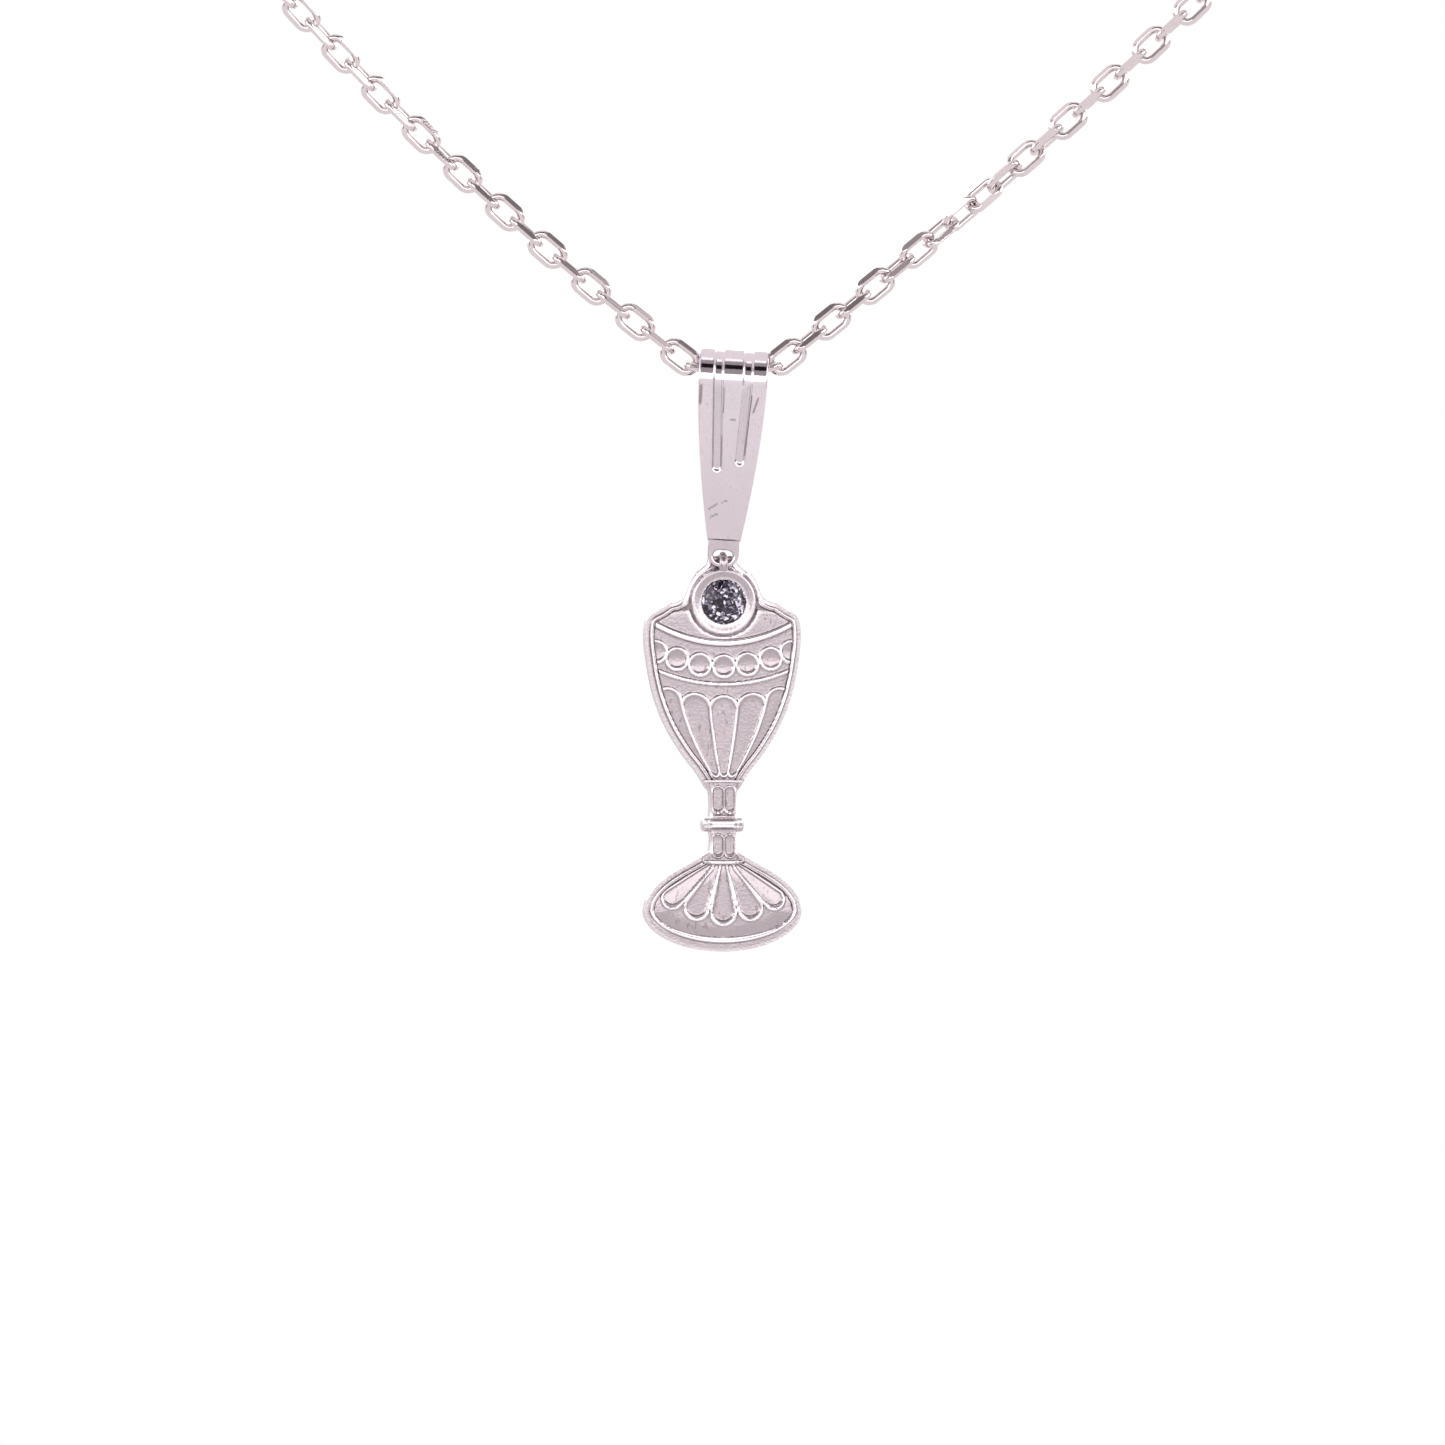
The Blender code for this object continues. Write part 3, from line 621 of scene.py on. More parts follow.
def foot_relief(x, z, edge):
    """Foot with five dished petals that fan out of the stem over a plain lower band."""
    dome = 0.10 + 0.10 * ease((edge - 0.4) / 0.9)
    rise = np.zeros_like(x)
    sunk = np.zeros_like(x)
    for start_x, end_x, end_z, end_r in FOOT_PETALS:
        run_x = end_x - start_x
        run_z = end_z - FAN_Z
        share = ((x - start_x) * run_x + (z - FAN_Z) * run_z) / (run_x**2 + run_z**2)
        share = np.clip(share, 0, 1)
        wide = FAN_HALF + (end_r - FAN_HALF) * share
        reach = np.hypot(x - start_x - share * run_x, z - FAN_Z - share * run_z) / wide
        gap = (1 - reach) * wide
        low = ease((end_z - z) / (0.7 * end_r))
        rise = np.maximum(rise, (0.08 + 0.03 * low) * bump(gap - 0.05 * low, 0.09 + 0.07 * low))
        sunk = np.where(reach < 1, dish(reach, 0.045, 8), sunk)
    return (dome + rise + sunk) * ease((edge - border_width(z) + 0.04) / 0.10)


def front_relief(x, z, half, edge):
    """Height in millimetres of the front above the field, everywhere on the medal."""
    relief = border_relief(z, edge)
    inside = edge > border_width(z)
    in_cup = (z < CUP_TOP_Z) & (z > STEM_TOP_Z) & inside
    in_foot = (z <= STEM_BOTTOM_Z) & inside
    in_stem = (z <= STEM_TOP_Z) & (z > STEM_BOTTOM_Z) & (np.abs(x) < STEM_HALF)
    relief = np.where(in_cup, np.maximum(relief, cup_relief(x, z, half, edge)), relief)
    relief = np.where(in_foot, np.maximum(relief, foot_relief(x, z, edge)), relief)
    in_host, host = host_relief(x, z)
    relief = np.where(in_host, host, relief)
    return np.where(in_stem, stem_relief(x, z) * ease(edge / 0.10), relief)


def sunk_and_raised_amounts(relief, passes=14):
    """How far each place lies below and above the smoothed relief round it, from 0 to 1."""
    soft = relief.copy()
    for _ in range(passes):
        padded = np.pad(soft, 1, mode="edge")
        soft = (padded[:-2, 1:-1] + padded[2:, 1:-1] + padded[1:-1, :-2] + padded[1:-1, 2:]
                + 2 * padded[1:-1, 1:-1]) / 6
    return ease((soft - relief) / 0.09), ease((relief - soft) / 0.035)


def shade_and_highlight_amounts(x, z, edge, relief, host_reach, neck):
    """Painted shade mixed with tarnish in the hollows and painted highlights on the crests, evened out on
    the bezel and the border.
    """
    painted_shade_and_wear, painted_highlight = sunk_and_raised_amounts(relief)
    ring_wall = bump(host_reach - BEZEL_R - 0.03, 0.22)
    halo_bead = bump(edge - 0.17, 0.14) * ease((z + 30.9) / 0.4)
    foot_bead = bump(edge - border_width(z) + 0.14, 0.22) * ease((-46.0 - z) / 0.8)
    rim = ease((0.16 - edge) / 0.05)
    # painted shade: eased off on the bezel's outer wall and added in the sunk neck behind the eyelet
    painted_shade_and_wear = painted_shade_and_wear * (1 - 0.7 * ring_wall)
    painted_shade_and_wear = np.maximum(painted_shade_and_wear, neck * ease((0.62 - np.abs(x)) / 0.1))
    # painted highlights: fewer inside the bezel, added on its wall, the halo's bead, the rim and the foot's
    # bead
    painted_highlight = painted_highlight * (1 - 0.6 * ease((BEZEL_R - 0.05 - host_reach) / 0.15))
    for painted_band in (0.6 * ring_wall, 0.9 * halo_bead, 0.25 * rim, foot_bead):
        painted_highlight = np.maximum(painted_highlight, painted_band)
    return painted_shade_and_wear, painted_highlight


def medal_shell(front, outline):
    """Points and faces of the front, a rounded back edge and a flat back, as one closed body."""
    rows, columns = front.shape[:2]
    count = rows * columns
    back_y = BACK_Y / MM
    points = list(front.reshape(-1, 3))
    levels = []
    for back, inset in ((back_y - BACK_ROUND, 0.0), (back_y - 0.3 * BACK_ROUND, 0.3 * BACK_ROUND),
                        (back_y, BACK_ROUND)):
        for side in (-1, 1):
            levels.append(range(len(points), len(points) + rows))
            points += [(side * max(half - inset, 0.01), back, z) for half, z in outline]
    left_edge = range(0, count, columns)
    right_edge = range(columns - 1, count, columns)
    lines = [left_edge] + levels[0::2] + levels[1::2][::-1] + [right_edge]
    faces = grid_faces(rows, columns)
    for first, second in zip(lines, lines[1:]):
        for row in range(rows - 1):
            faces.append((first[row], first[row + 1], second[row + 1], second[row]))
    behind = lines[-2:0:-1]
    faces.append((*range(columns), *(line[0] for line in behind)))
    faces.append((*range(count - columns, count), *(line[-1] for line in behind))[::-1])
    return np.array(points) * MM, faces


def make_medal(material):
    outline = outline_points()
    outline[-1, 0] = FOOT_TIP_HALF
    full = np.concatenate([[(0.0, outline[0, 1])], outline])
    shares = np.sin(np.linspace(-math.pi / 2, math.pi / 2, COLUMNS + 1) * 0.98) / math.sin(0.49 * math.pi)
    x = outline[:, :1] * shares[None, :]
    z = np.repeat(outline[:, 1:], COLUMNS + 1, axis=1)
    half = np.repeat(outline[:, :1], COLUMNS + 1, axis=1)
    edge = distance_to_outline(x, z, full)
    relief = front_relief(x, z, half, edge)
    host_reach = np.hypot(x, z - HOST.z / MM)
    neck = ease((z - NECK_STEP_Z + 0.08) / 0.08) * ease((host_reach - BEZEL_R + 0.04) / 0.04)
    neck_y = NECK_Y / MM - 0.04 * np.clip(relief / 0.15, 0, 1)
    y = FIELD_Y / MM - relief
    y = y + (neck_y - y) * neck
    points, faces = medal_shell(np.stack([x, y, z], axis=2), outline)
    mesh = mesh_from_arrays("medal_relief", points, faces)
    outward(mesh)
    finish_mesh(mesh, material, 50)
    # painted shade with tarnish in the hollows and painted highlights on the crests, stored on the mesh
    painted_shade_and_wear, painted_highlight = shade_and_highlight_amounts(x, z, edge, relief, host_reach, neck)
    set_field(mesh, "painted_shade_and_wear", painted_shade_and_wear)
    set_field(mesh, "painted_highlight", painted_highlight)
    new_object("medal_relief", mesh, "medal", "chalice_medal")


def make_loop(material):
    """Ring on top of the medal, square to the eyelet it hangs in."""
    points = []
    sides, steps = 20, 56
    for step in range(steps):
        angle = 2 * math.pi * step / steps
        for turn in range(sides):
            girth = 2 * math.pi * turn / sides
            reach = LOOP_R + LOOP_WIRE_R * math.cos(girth)
            points.append((LOOP_WIRE_R * 1.1 * math.sin(girth), reach * math.cos(angle),
                           LOOP.z + reach * math.sin(angle)))
    mesh = mesh_from_arrays("medal_loop", points, grid_faces(steps, sides, 0, True, True))
    outward(mesh)
    finish_mesh(mesh, material)
    new_object("medal_loop", mesh, "medal")


# ---- stone ----------------------------------------------------------------------------------
def make_stone(material):
    """Round brilliant: eight-sided table, star, kite and girdle facets, and a pavilion."""
    radius = (STONE_HIGH.x - STONE_LOW.x) / 2 - 0.01 * MM
    table_y = STONE_LOW.y
    depth = STONE_HIGH.y - STONE_LOW.y
    girdle_y = table_y + 0.22 * depth
    points = []

    def ring(count, reach, y, shift=0.0):
        first = len(points)
        for step in range(count):
            angle = 2 * math.pi * (step + shift) / count
            points.append((HOST.x + reach * math.cos(angle), y, HOST.z + reach * math.sin(angle)))
        return range(first, first + count)

    table = ring(8, 0.55 * radius, table_y)
    crown = ring(8, 0.80 * radius, table_y + 0.12 * depth, 0.5)
    upper = ring(16, radius, girdle_y)
    lower = ring(16, radius, girdle_y + 0.035 * depth)
    keel = ring(8, 0.24 * radius, table_y + 0.86 * depth, 0.5)
    culet = ring(1, 0.0, STONE_HIGH.y - 0.02 * MM)
    faces = [tuple(table)]
    for step in range(8):
        after = (step + 1) % 8
        before = (step - 1) % 8
        corner = upper[2 * step]
        edge = upper[2 * step + 1]
        faces.append((table[step], table[after], crown[step]))
        faces.append((table[step], crown[step], corner, crown[before]))
        faces.append((crown[step], edge, corner))
        faces.append((crown[step], upper[(2 * step + 2) % 16], edge))
        low_corner = lower[2 * step]
        low_edge = lower[2 * step + 1]
        faces.append((keel[step], low_corner, low_edge))
        faces.append((keel[step], low_edge, lower[(2 * step + 2) % 16]))
        faces.append((culet[0], keel[before], low_corner, keel[step]))
    for step in range(16):
        after = (step + 1) % 16
        faces.append((upper[step], upper[after], lower[after], lower[step]))
    mesh = mesh_from_arrays("host_stone_facets", points, faces)
    outward(mesh)
    mesh.materials.append(material)
    mesh.shade_flat()
    new_object("host_stone_facets", mesh, "medal", "host_stone")


# ---- bail -----------------------------------------------------------------------------------
def bail_half(z):
    share = np.clip((ROLL_Z - z) / (ROLL_Z - LEAF_END_Z), 0, 1)
    return BAIL_TOP_HALF + (BAIL_END_HALF - BAIL_TOP_HALF) * share**BAIL_TAPER


def fold_path(roll_steps=72, leaf_steps=90):
    """Middle of the bail's sheet as (y, z, normal y, normal z), front end to back end."""
    roll = ROLL_OUTER_R - SHEET / 2
    drop = ROLL_Z - LEAF_END_Z
    lean = math.asin(roll / math.hypot(drop, LEAF_END_Y)) - math.atan2(LEAF_END_Y, drop)
    turn = math.pi / 2 + lean
    path = []
    for step in range(leaf_steps):
        share = step / leaf_steps
        start_y, start_z = -roll * math.sin(turn), ROLL_Z + roll * math.cos(turn)
        fall = (1 - share) * (start_z - LEAF_END_Z)
        path.append((start_y + fall * math.tan(lean), start_z - fall, -math.cos(lean), -math.sin(lean)))
    for step in range(roll_steps + 1):
        angle = -turn + 2 * turn * step / roll_steps
        path.append((roll * math.sin(angle), ROLL_Z + roll * math.cos(angle), math.sin(angle),
                     math.cos(angle)))
    back = [(-y, z, -ny, nz) for y, z, ny, nz in path[:leaf_steps]]
    return np.array(path + back[::-1])


def groove_depth(x, z):
    """Depth of the two round-bottomed grooves at this place on the outside of the sheet."""
    depth = np.zeros_like(x)
    for side in (-1, 1):
        end_z = GROOVE_END_Z[side]
        share = np.clip((ROLL_Z - z) / (ROLL_Z - end_z), 0, 1)
        middle = side * (GROOVE_TOP_X + (GROOVE_END_X - GROOVE_TOP_X) * share)
        below = np.clip(end_z - z, 0, None)
        reach = np.hypot(x - middle, below) / GROOVE_HALF
        depth = np.maximum(depth, GROOVE_DEPTH * ease((1.15 - reach) / 0.50))
    return depth


def scratch_marks(x, z):
    """1 on the handling marks of the front leaf, 0 away from them."""
    marks = np.zeros_like(x)
    for start_x, start_z, end_x, end_z, half in SCRATCHES:
        run_x, run_z = end_x - start_x, end_z - start_z
        share = np.clip(((x - start_x) * run_x + (z - start_z) * run_z) / (run_x**2 + run_z**2), 0, 1)
        reach = np.hypot(x - start_x - share * run_x, z - start_z - share * run_z)
        marks = np.maximum(marks, ease((half - reach) / (0.6 * half)))
    return marks


def set_field(mesh, name, values):
    """Store one number per vertex; vertices past the end of values get 0."""
    padded = np.zeros(len(mesh.vertices), np.float32)
    padded[:values.size] = values.ravel()
    mesh.attributes.new(name, "FLOAT", "POINT").data.foreach_set("value", padded)


def closed_sheet(rows, columns):
    """Faces of two grids, one behind the other, joined round their edges."""
    count = rows * columns
    faces = grid_faces(rows, columns)
    faces += [face[::-1] for face in grid_faces(rows, columns, count)]
    for row in range(rows - 1):
        for here in (row * columns, (row + 1) * columns - 1):
            below = here + columns
            faces.append((here, below, below + count, here + count))
    for first in (0, count - columns):
        for here in range(first, first + columns - 1):
            faces.append((here, here + 1, here + 1 + count, here + count))
    return faces


def make_bail(material, hinge):
    """Sheet along the fold with rounded edges and two grooves on its outside."""
    path = fold_path()
    rows = len(path)
    shares = np.linspace(-1, 1, BAIL_COLUMNS + 1)
    y, z, normal_y, normal_z = (path[:, index:index + 1] for index in range(4))
    x = bail_half(z) * shares[None, :]
    height = np.repeat(z, BAIL_COLUMNS + 1, axis=1)
    from_side = bail_half(height) - np.abs(x)
    from_end = np.minimum(np.arange(rows), np.arange(rows)[::-1])[:, None] * LEAF_ROW
    near = np.clip(np.minimum(from_side, from_end) / EDGE_ROUND, 0, 1)
    rounding = EDGE_ROUND * (1 - np.sqrt(1 - (1 - near)**2))
    grooves = groove_depth(x, height)
    skins = []
    for offset in (SHEET / 2 - grooves - rounding, rounding - SHEET / 2):
        skin = np.stack([x, y + normal_y * offset, height + normal_z * offset], axis=2)
        skins.append(skin.reshape(-1, 3))
    mesh = mesh_from_arrays("bail_fold", np.concatenate(skins), closed_sheet(rows, BAIL_COLUMNS + 1))
    mesh.transform(hinge)
    outward(mesh)
    front = (np.arange(rows) < rows // 2)[:, None]
    below_roll = ROLL_Z - height
    # painted shade in the grooves and darker towards the ends of the leaves, with the handling marks of the
    # front leaf
    painted_shade_and_wear = 0.26 * grooves / GROOVE_DEPTH * ease(below_roll / (0.6 * MM))
    painted_shade_and_wear = np.maximum(painted_shade_and_wear, 0.20 * ease(below_roll / (ROLL_Z - LEAF_END_Z)))
    set_field(mesh, "painted_shade_and_wear", np.maximum(painted_shade_and_wear, scratch_marks(x / MM, height / MM) * front))
    finish_mesh(mesh, material, 45)
    new_object("bail_fold", mesh, "bail", "bail")


def eyelet_outlines(steps):
    """Matching points (x, z) round the oval eye and round the tab."""
    eye = []
    tab = []
    for step in range(steps):
        angle = 2 * math.pi * step / steps
        across = math.cos(angle)
        up = math.sin(angle)
        shift = math.copysign(EYE_HALF_X - EYE_HALF_Z, across)
        eye.append((shift + EYE_HALF_Z * across, EYE_Z + EYE_HALF_Z * up))
        if up < 0:
            tab.append((EYELET_HALF * across, EYELET_SIDE_Z + (EYELET_SIDE_Z - EYELET_BOTTOM_Z) * up))
            continue
        tall = EYELET_TOP_Z - EYELET_SIDE_Z
        x = tall / max(up, 1e-6) * across
        z = EYELET_HALF / max(abs(across), 1e-6) * up
        tab.append((max(-EYELET_HALF, min(EYELET_HALF, x)), EYELET_SIDE_Z + min(tall, z)))
    return eye, tab


def make_eyelet(material, hinge):
    """Tab with an oval eye, clasped between the ends of the bail's leaves."""
    steps = 96
    points = []
    for line, inset in zip(eyelet_outlines(steps), (EYELET_ROUND, -EYELET_ROUND)):
        for shift, y in ((inset, EYELET_HALF_THICK), (0, EYELET_HALF_THICK - EYELET_ROUND),
                         (0, EYELET_ROUND - EYELET_HALF_THICK), (inset, -EYELET_HALF_THICK)):
            for x, z in line:
                aside = Vector((x, 0, z - EYE_Z)).normalized() * shift
                points.append((x + aside.x, y, z + aside.z))
    faces = []
    order = [0, 1, 2, 3, 7, 6, 5, 4]
    for first, second in zip(order, order[1:] + order[:1]):
        for step in range(steps):
            after = (step + 1) % steps
            faces.append((first * steps + step, first * steps + after, second * steps + after,
                          second * steps + step))
    mesh = mesh_from_arrays("bail_eyelet_fine", points, faces)
    mesh.transform(hinge)
    outward(mesh)
    # painted shade: darkest on the eye's inner wall, less over the rest of the tab
    set_field(mesh, "painted_shade_and_wear", np.repeat([0.35, 0.9, 0.9, 0.35, 0.3, 0.3, 0.3, 0.3], steps))
    finish_mesh(mesh, material, 50)
    new_object("bail_eyelet_fine", mesh, "bail", "bail_eyelet")


# ---- chain ----------------------------------------------------------------------------------
def cut_flats(point):
    """Diamond cutting: two flats along each long side of a link."""
    reach = abs(point.z) + abs(point.y)
    if reach <= FACET_REACH or abs(point.z) < LINK_HALF_WIDTH:
        return point
    excess = (reach - FACET_REACH) / 2
    y = point.y - math.copysign(excess, point.y)
    z = point.z - math.copysign(excess, point.z)
    return Vector((point.x, y, z))


def link_mesh(material):
    shift = LINK_HALF_LENGTH - LINK_HALF_WIDTH
    centres = []
    for side in (1, -1):
        for step in range(21):
            angle = math.pi / 2 * (step / 10 - side)
            centres.append((side * shift + LINK_HALF_WIDTH * math.cos(angle), 0,
                            LINK_HALF_WIDTH * math.sin(angle)))
    mesh = tube("chain_link_cut", centres, WIRE_R, 28, shape=cut_flats)
    finish_mesh(mesh, material, 18)
    return mesh


def run_of_links(side):
    """Centre, plan angle, slope and roll of each link on one side of the lowest link, going outward."""
    if side > 0:
        count, slope, gain = RIGHT_LINKS, RIGHT_SLOPE, RIGHT_GAIN
        full_twist, (first, last) = RIGHT_TWIST, RIGHT_TWIST_LINKS
    else:
        count, slope, gain = LEFT_LINKS, LEFT_SLOPE, LEFT_GAIN
        full_twist, (first, last) = LEFT_TWIST, LEFT_TWIST_LINKS
    joint = SEAT + Matrix.Rotation(BAIL_TURN, 3, "Z") @ Vector((side * PITCH / 2, 0, 0))
    places = []
    for step in range(1, count + 2):
        angle = SEAT_SLOPE if step == 1 else slope + gain * (step - 2)
        plan = BAIL_TURN * max(0, 1 - (step - 1) / 2)
        heading = Matrix.Rotation(plan, 3, "Z") @ Vector((side * math.cos(angle), 0, math.sin(angle)))
        twist = full_twist * float(ease((step - first) / (last - first)))
        roll = FACE_ROLL + twist + (math.pi / 2 if step % 2 else 0)
        places.append((joint + heading * PITCH / 2, plan, side * angle, roll))
        joint = joint + heading * PITCH
    return places, joint, heading


def turned(centre, plan, slope, roll):
    """Place of a link or ring: turned in plan, sloped, and rolled on its own length."""
    heading = Matrix.Rotation(plan, 4, "Z") @ Matrix.Rotation(-slope, 4, "Y")
    return Matrix.Translation(centre) @ heading @ Matrix.Rotation(roll, 4, "X")


def make_chain(material):
    """All the links and a round ring at each end; gives the slope of the left run's end."""
    left, left_joint, left_heading = run_of_links(-1)
    right, right_joint, right_heading = run_of_links(1)
    lowest = [(SEAT, BAIL_TURN, -BAIL_LEAN / 2, FACE_ROLL)]
    mesh = link_mesh(material)
    for number, place in enumerate(left[::-1] + lowest + right, start=1):
        link = new_object("cut_link_%02d" % number, mesh, "chain", "chain_link_%02d" % number)
        link.matrix_world = turned(*place)
    for name, joint, heading, roll in (("clasp_jump_ring", left_joint, left_heading, left[-1][3]),
                                       ("end_ring", right_joint, right_heading, right[-1][3])):
        slope = math.atan2(heading.z, heading.x)
        ring = tube(name + "_round", circle(RING_R, 72), RING_WIRE_R, 24)
        along = Matrix.Translation((RING_R - RING_WIRE_R - LINK_SLACK / 2, 0, 0))
        ring.transform(turned(joint, 0, slope, roll + math.pi / 2) @ along)
        finish_mesh(ring, material)
        new_object(name + "_round", ring, "chain", name)
    return math.atan2(left_heading.z, left_heading.x)


# ---- clasp ----------------------------------------------------------------------------------
def case_mesh():
    """Tube bent to an open ring, with rolled ends and a slot along its outer side for the lever."""
    start, stop = GAP_END, 2 * math.pi + GAP_START
    rows, sides = 120, 32
    points = []
    for inside in (False, True):
        for row in range(rows + 1):
            along = start + (stop - start) * row / rows
            from_end = math.degrees(min(along - start, stop - along))
            outer_r = CASE_OUTER_R - CASE_COLLAR * float(ease((from_end - COLLAR_DEGREES) / 2))
            wall = CASE_INNER_R if inside else outer_r
            for turn in range(sides):
                around = 2 * math.pi * turn / sides
                reach = CLASP_R + wall * math.cos(around)
                points.append((reach * math.cos(along), wall * math.sin(around), reach * math.sin(along)))

    def kept(row, turn):
        """Whether this patch of wall is metal; the slot is four patches wide on the outer side."""
        along = start + (stop - start) * (row + 0.5) / rows
        in_slot = SLOT_START < along < SLOT_END and (turn + 2) % sides < 4
        return 0 <= row < rows and not in_slot

    def corner(skin, row, turn):
        return (skin * (rows + 1) + row) * sides + turn % sides

    faces = []
    for row in range(rows):
        for turn in range(sides):
            if not kept(row, turn):
                continue
            loop = [(row, turn), (row, turn + 1), (row + 1, turn + 1), (row + 1, turn)]
            beyond = [(row - 1, turn), (row, turn + 1), (row + 1, turn), (row, turn - 1)]
            faces.append(tuple(corner(0, *place) for place in loop))
            faces.append(tuple(corner(1, *place) for place in loop[::-1]))
            for first, second, neighbour in zip(loop, loop[1:] + loop[:1], beyond):
                if not kept(*neighbour):
                    faces.append((corner(0, *first), corner(1, *first),
                                  corner(1, *second), corner(0, *second)))
    mesh = mesh_from_arrays("clasp_case_tube", points, faces)
    outward(mesh)
    return mesh


def ball_lever():
    """Short pin along Z with a ball on its upper end."""
    sides, bands = 24, 14
    rings = [(LEVER_R, -LEVER_LENGTH / 2), (LEVER_R - 0.02 * MM, LEVER_LENGTH / 2)]
    for band in range(1, bands):
        tilt = math.pi * band / bands
        rings.append((BALL_R * math.sin(tilt), LEVER_LENGTH / 2 + BALL_R * math.cos(tilt)))
    points = []
    for radius, height in rings:
        points += [(x, y, height) for x, _, y in circle(radius, sides)]
    top = len(points)
    points += [(0, 0, LEVER_LENGTH / 2 + BALL_R), (0, 0, LEVER_LENGTH / 2 - BALL_R)]
    faces = [tuple(range(sides)), tuple(range(sides, 2 * sides))]
    faces += grid_faces(2, sides, wrap_columns=True)
    faces += grid_faces(bands - 1, sides, 2 * sides, wrap_columns=True)
    for pole, start in ((top, 2 * sides), (top + 1, top - sides)):
        for step in range(sides):
            faces.append((pole, start + step, start + (step + 1) % sides))
    mesh = mesh_from_arrays("clasp_lever", points, faces)
    outward(mesh)
    return mesh


def make_clasp(material, slope):
    """Slotted tube case, sliding bolt with a ball-ended lever, and tab."""
    place = turned(CLASP, 0, slope, 0)
    case = case_mesh()
    case.transform(place)
    finish_mesh(case, material)
    new_object("clasp_case_tube", case, "chain", "clasp_case")
    bolt_line = circle(CLASP_R, 40, GAP_START + math.radians(1), BOLT_TAIL, closed=False)
    bolt = tube("clasp_bolt_rod", bolt_line, BOLT_R, 24, closed=False)
    bolt.transform(place)
    finish_mesh(bolt, material)
    new_object("clasp_bolt_rod", bolt, "clasp_bolt", "clasp_bolt")
    lever_mesh = ball_lever()
    reach = CLASP_R + LEVER_MIDDLE
    outside = Matrix.Translation((reach * math.cos(LEVER_ANGLE), 0, reach * math.sin(LEVER_ANGLE)))
    lever_mesh.transform(place @ outside @ Matrix.Rotation(math.pi / 2 - LEVER_ANGLE, 4, "Y"))
    finish_mesh(lever_mesh, material)
    new_object("clasp_lever", lever_mesh, "clasp_bolt")
    tab = tube("clasp_tab_ring", circle(TAB_R, 56), TAB_WIRE_R, 20)
    inward = -CLASP_R - CASE_OUTER_R - TAB_GAP - TAB_WIRE_R - TAB_R
    tab.transform(place @ Matrix.Translation((inward, 0, 0)))
    finish_mesh(tab, material)
    new_object("clasp_tab_ring", tab, "chain", "clasp_tab")


# ---- light tent, floor and camera -----------------------------------------------------------
def patch(tree, level, round_view, bottom, top, side):
    """1 inside a patch of sky ahead of the object, 0 outside, soft at its edges."""
    over = step_up(tree, level, *bottom)
    under = maths(tree, "SUBTRACT", 1.0, step_up(tree, level, *top))
    inside = maths(tree, "SUBTRACT", 1.0, step_up(tree, round_view, *side))
    return maths(tree, "MULTIPLY", maths(tree, "MULTIPLY", over, under), inside)


def make_world():
    """Light tent: bright band at eye level, greyer below, dark gap above the viewer, dim side strips."""
    world = bpy.data.worlds.new("light_tent")
    scene.world = world
    world.use_nodes = True
    tree = world.node_tree
    background = tree.nodes["Background"]
    place = node(tree, "ShaderNodeTexCoord").outputs["Generated"]
    split = node(tree, "ShaderNodeSeparateXYZ")
    tree.links.new(place, split.inputs["Vector"])
    height = node(tree, "ShaderNodeMapRange")
    height.inputs["From Min"].default_value = -1
    tree.links.new(split.outputs["Z"], height.inputs["Value"])
    tent = ramp(tree, height.outputs["Result"], [
        (0.00, (0.62, 0.57, 0.60, 1)), (0.37, (0.80, 0.74, 0.78, 1)), (0.39, (0.98, 0.95, 0.97, 1)),
        (0.525, (1.05, 1.01, 1.03, 1)), (0.56, (2.4, 2.33, 2.36, 1)), (0.70, (2.4, 2.33, 2.36, 1)),
        (0.72, (0.80, 0.74, 0.77, 1)), (0.98, (0.80, 0.74, 0.77, 1)), (0.992, (1.5, 1.45, 1.48, 1))])
    ahead = maths(tree, "MULTIPLY", split.outputs["Y"], -1.0)
    round_view = maths(tree, "ABSOLUTE", maths(tree, "ARCTAN2", split.outputs["X"], ahead))
    level = height.outputs["Result"]
    # ahead of the object and high up: a grey patch with a dark gap in it
    grey = patch(tree, level, round_view, (0.703, 0.715), (0.978, 0.990), (0.6, 1.1))
    gap = patch(tree, level, round_view, (0.838, 0.852), (0.930, 0.942), (0.26, 0.48))
    strip_end = maths(tree, "SUBTRACT", 1.0, step_up(tree, round_view, 1.20, 1.35))
    strip = maths(tree, "MULTIPLY", step_up(tree, round_view, 0.80, 0.95), strip_end)
    behind = maths(tree, "MULTIPLY", step_up(tree, round_view, 1.5, 1.7), step_up(tree, level, 0.68, 0.74))
    tent = mix_colour(tree, behind, tent, (1.0, 0.92, 0.96, 1))
    tent = mix_colour(tree, grey, tent, (0.40, 0.36, 0.38, 1))
    tent = mix_colour(tree, gap, tent, (0.012, 0.010, 0.012, 1))
    tent = mix_colour(tree, maths(tree, "MULTIPLY", strip, 0.8), tent, (0.10, 0.08, 0.085, 1))
    path = node(tree, "ShaderNodeLightPath")
    seen = mix_colour(tree, path.outputs["Is Camera Ray"], tent, (1.0, 1.0, 1.0, 1))
    tree.links.new(seen, background.inputs["Color"])
    background.inputs["Strength"].default_value = 1.0


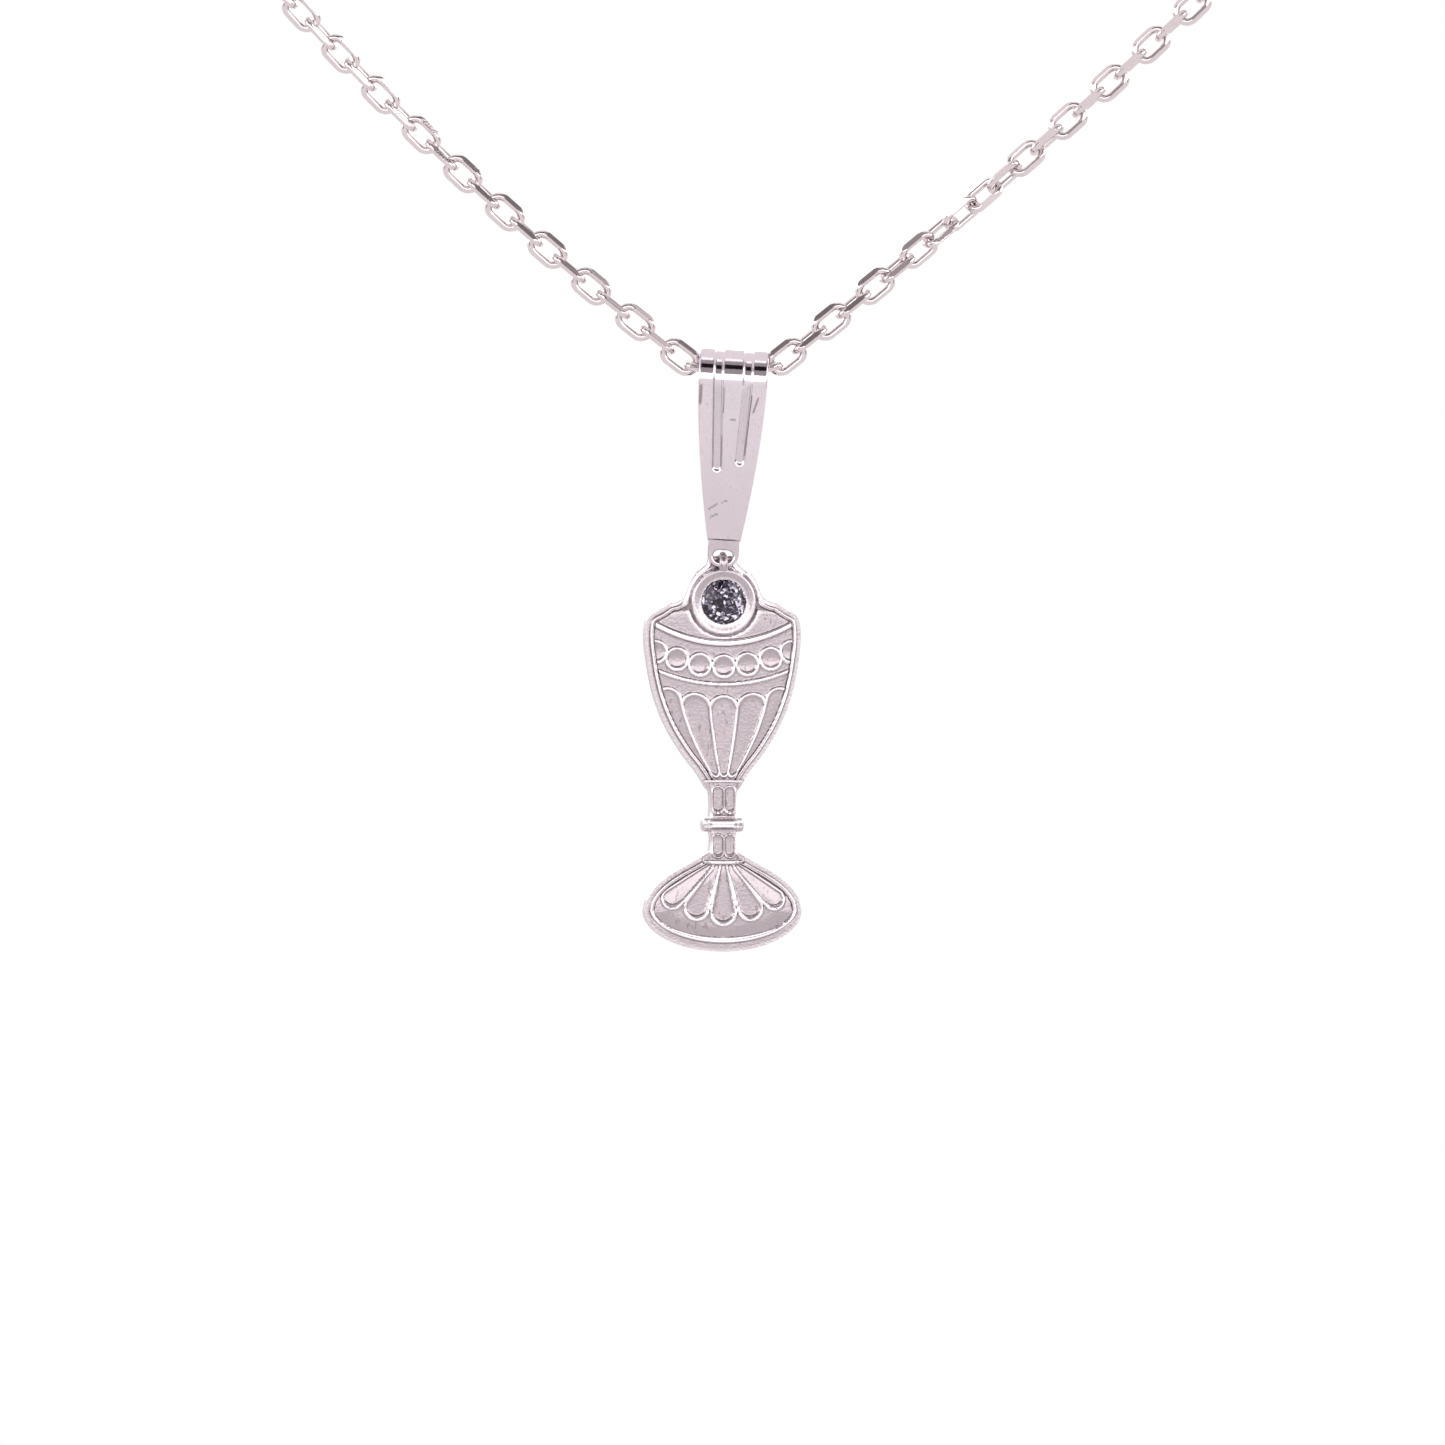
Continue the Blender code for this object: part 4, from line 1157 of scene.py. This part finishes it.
def make_floor():
    place = (0, 0.05, CAD_BOX[0].z - FLOOR_DROP)
    bpy.ops.mesh.primitive_circle_add(vertices=96, radius=FLOOR_R, fill_type="NGON", location=place)
    floor = bpy.context.object
    floor.name = "pale_floor"
    floor.data.materials.append(plain_material("pale_floor", (0.93, 0.93, 0.93), 0.9))


def make_light(name, place):
    """Square area light that faces the middle of the view."""
    data = bpy.data.lights.new(name, "AREA")
    data.shape = "SQUARE"
    data.size = LIGHT_SIZE
    data.energy = LIGHT_POWER
    light = bpy.data.objects.new(name, data)
    light.location = place
    light.rotation_euler = (VIEW_CENTRE - Vector(place)).to_track_quat("-Z", "Y").to_euler()
    scene.collection.objects.link(light)


def make_camera():
    data = bpy.data.cameras.new("camera")
    camera = bpy.data.objects.new("camera", data)
    scene.collection.objects.link(camera)
    data.sensor_width = SENSOR
    data.lens = SENSOR * CAMERA_DISTANCE / VIEW_WIDTH
    data.clip_start = 0.01
    data.clip_end = 20
    back = Vector((math.sin(VIEW_AZIMUTH), -math.cos(VIEW_AZIMUTH), 0))
    camera.location = VIEW_CENTRE + back * CAMERA_DISTANCE
    camera.rotation_euler = (-back).to_track_quat("-Z", "Y").to_euler()
    scene.camera = camera


def main():
    make_camera()
    make_world()
    make_floor()
    for name, place in SOFT_LIGHTS.items():
        make_light(name, place)
    scene.view_settings.view_transform = "Standard"
    # the relief's silver is tinted darker than the bail's: painted shade that greys its flat front
    relief_silver = silver_material("silver_relief", (0.475, 0.425, 0.445), 0.20, 0.000012, 0.6)
    bail_silver = silver_material("silver_bail", (0.75, 0.695, 0.73), 0.06, 0.0000015, 0.2)
    wire_silver = silver_material("silver_wire", (0.72, 0.66, 0.66), 0.07, 0.000002)
    facing = Matrix.Rotation(BAIL_LEAN, 4, "Y") @ Matrix.Rotation(BAIL_TURN, 4, "Z")
    hinge = Matrix.Translation(SEAT) @ facing
    make_medal(relief_silver)
    make_loop(relief_silver)
    make_stone(stone_material())
    make_bail(bail_silver, hinge)
    make_eyelet(bail_silver, hinge)
    end_slope = make_chain(wire_silver)
    make_clasp(wire_silver, end_slope)
    spring = frame["nodes"]["clasp_spring"]
    spring.data.materials.clear()
    spring.data.materials.append(wire_silver)


main()
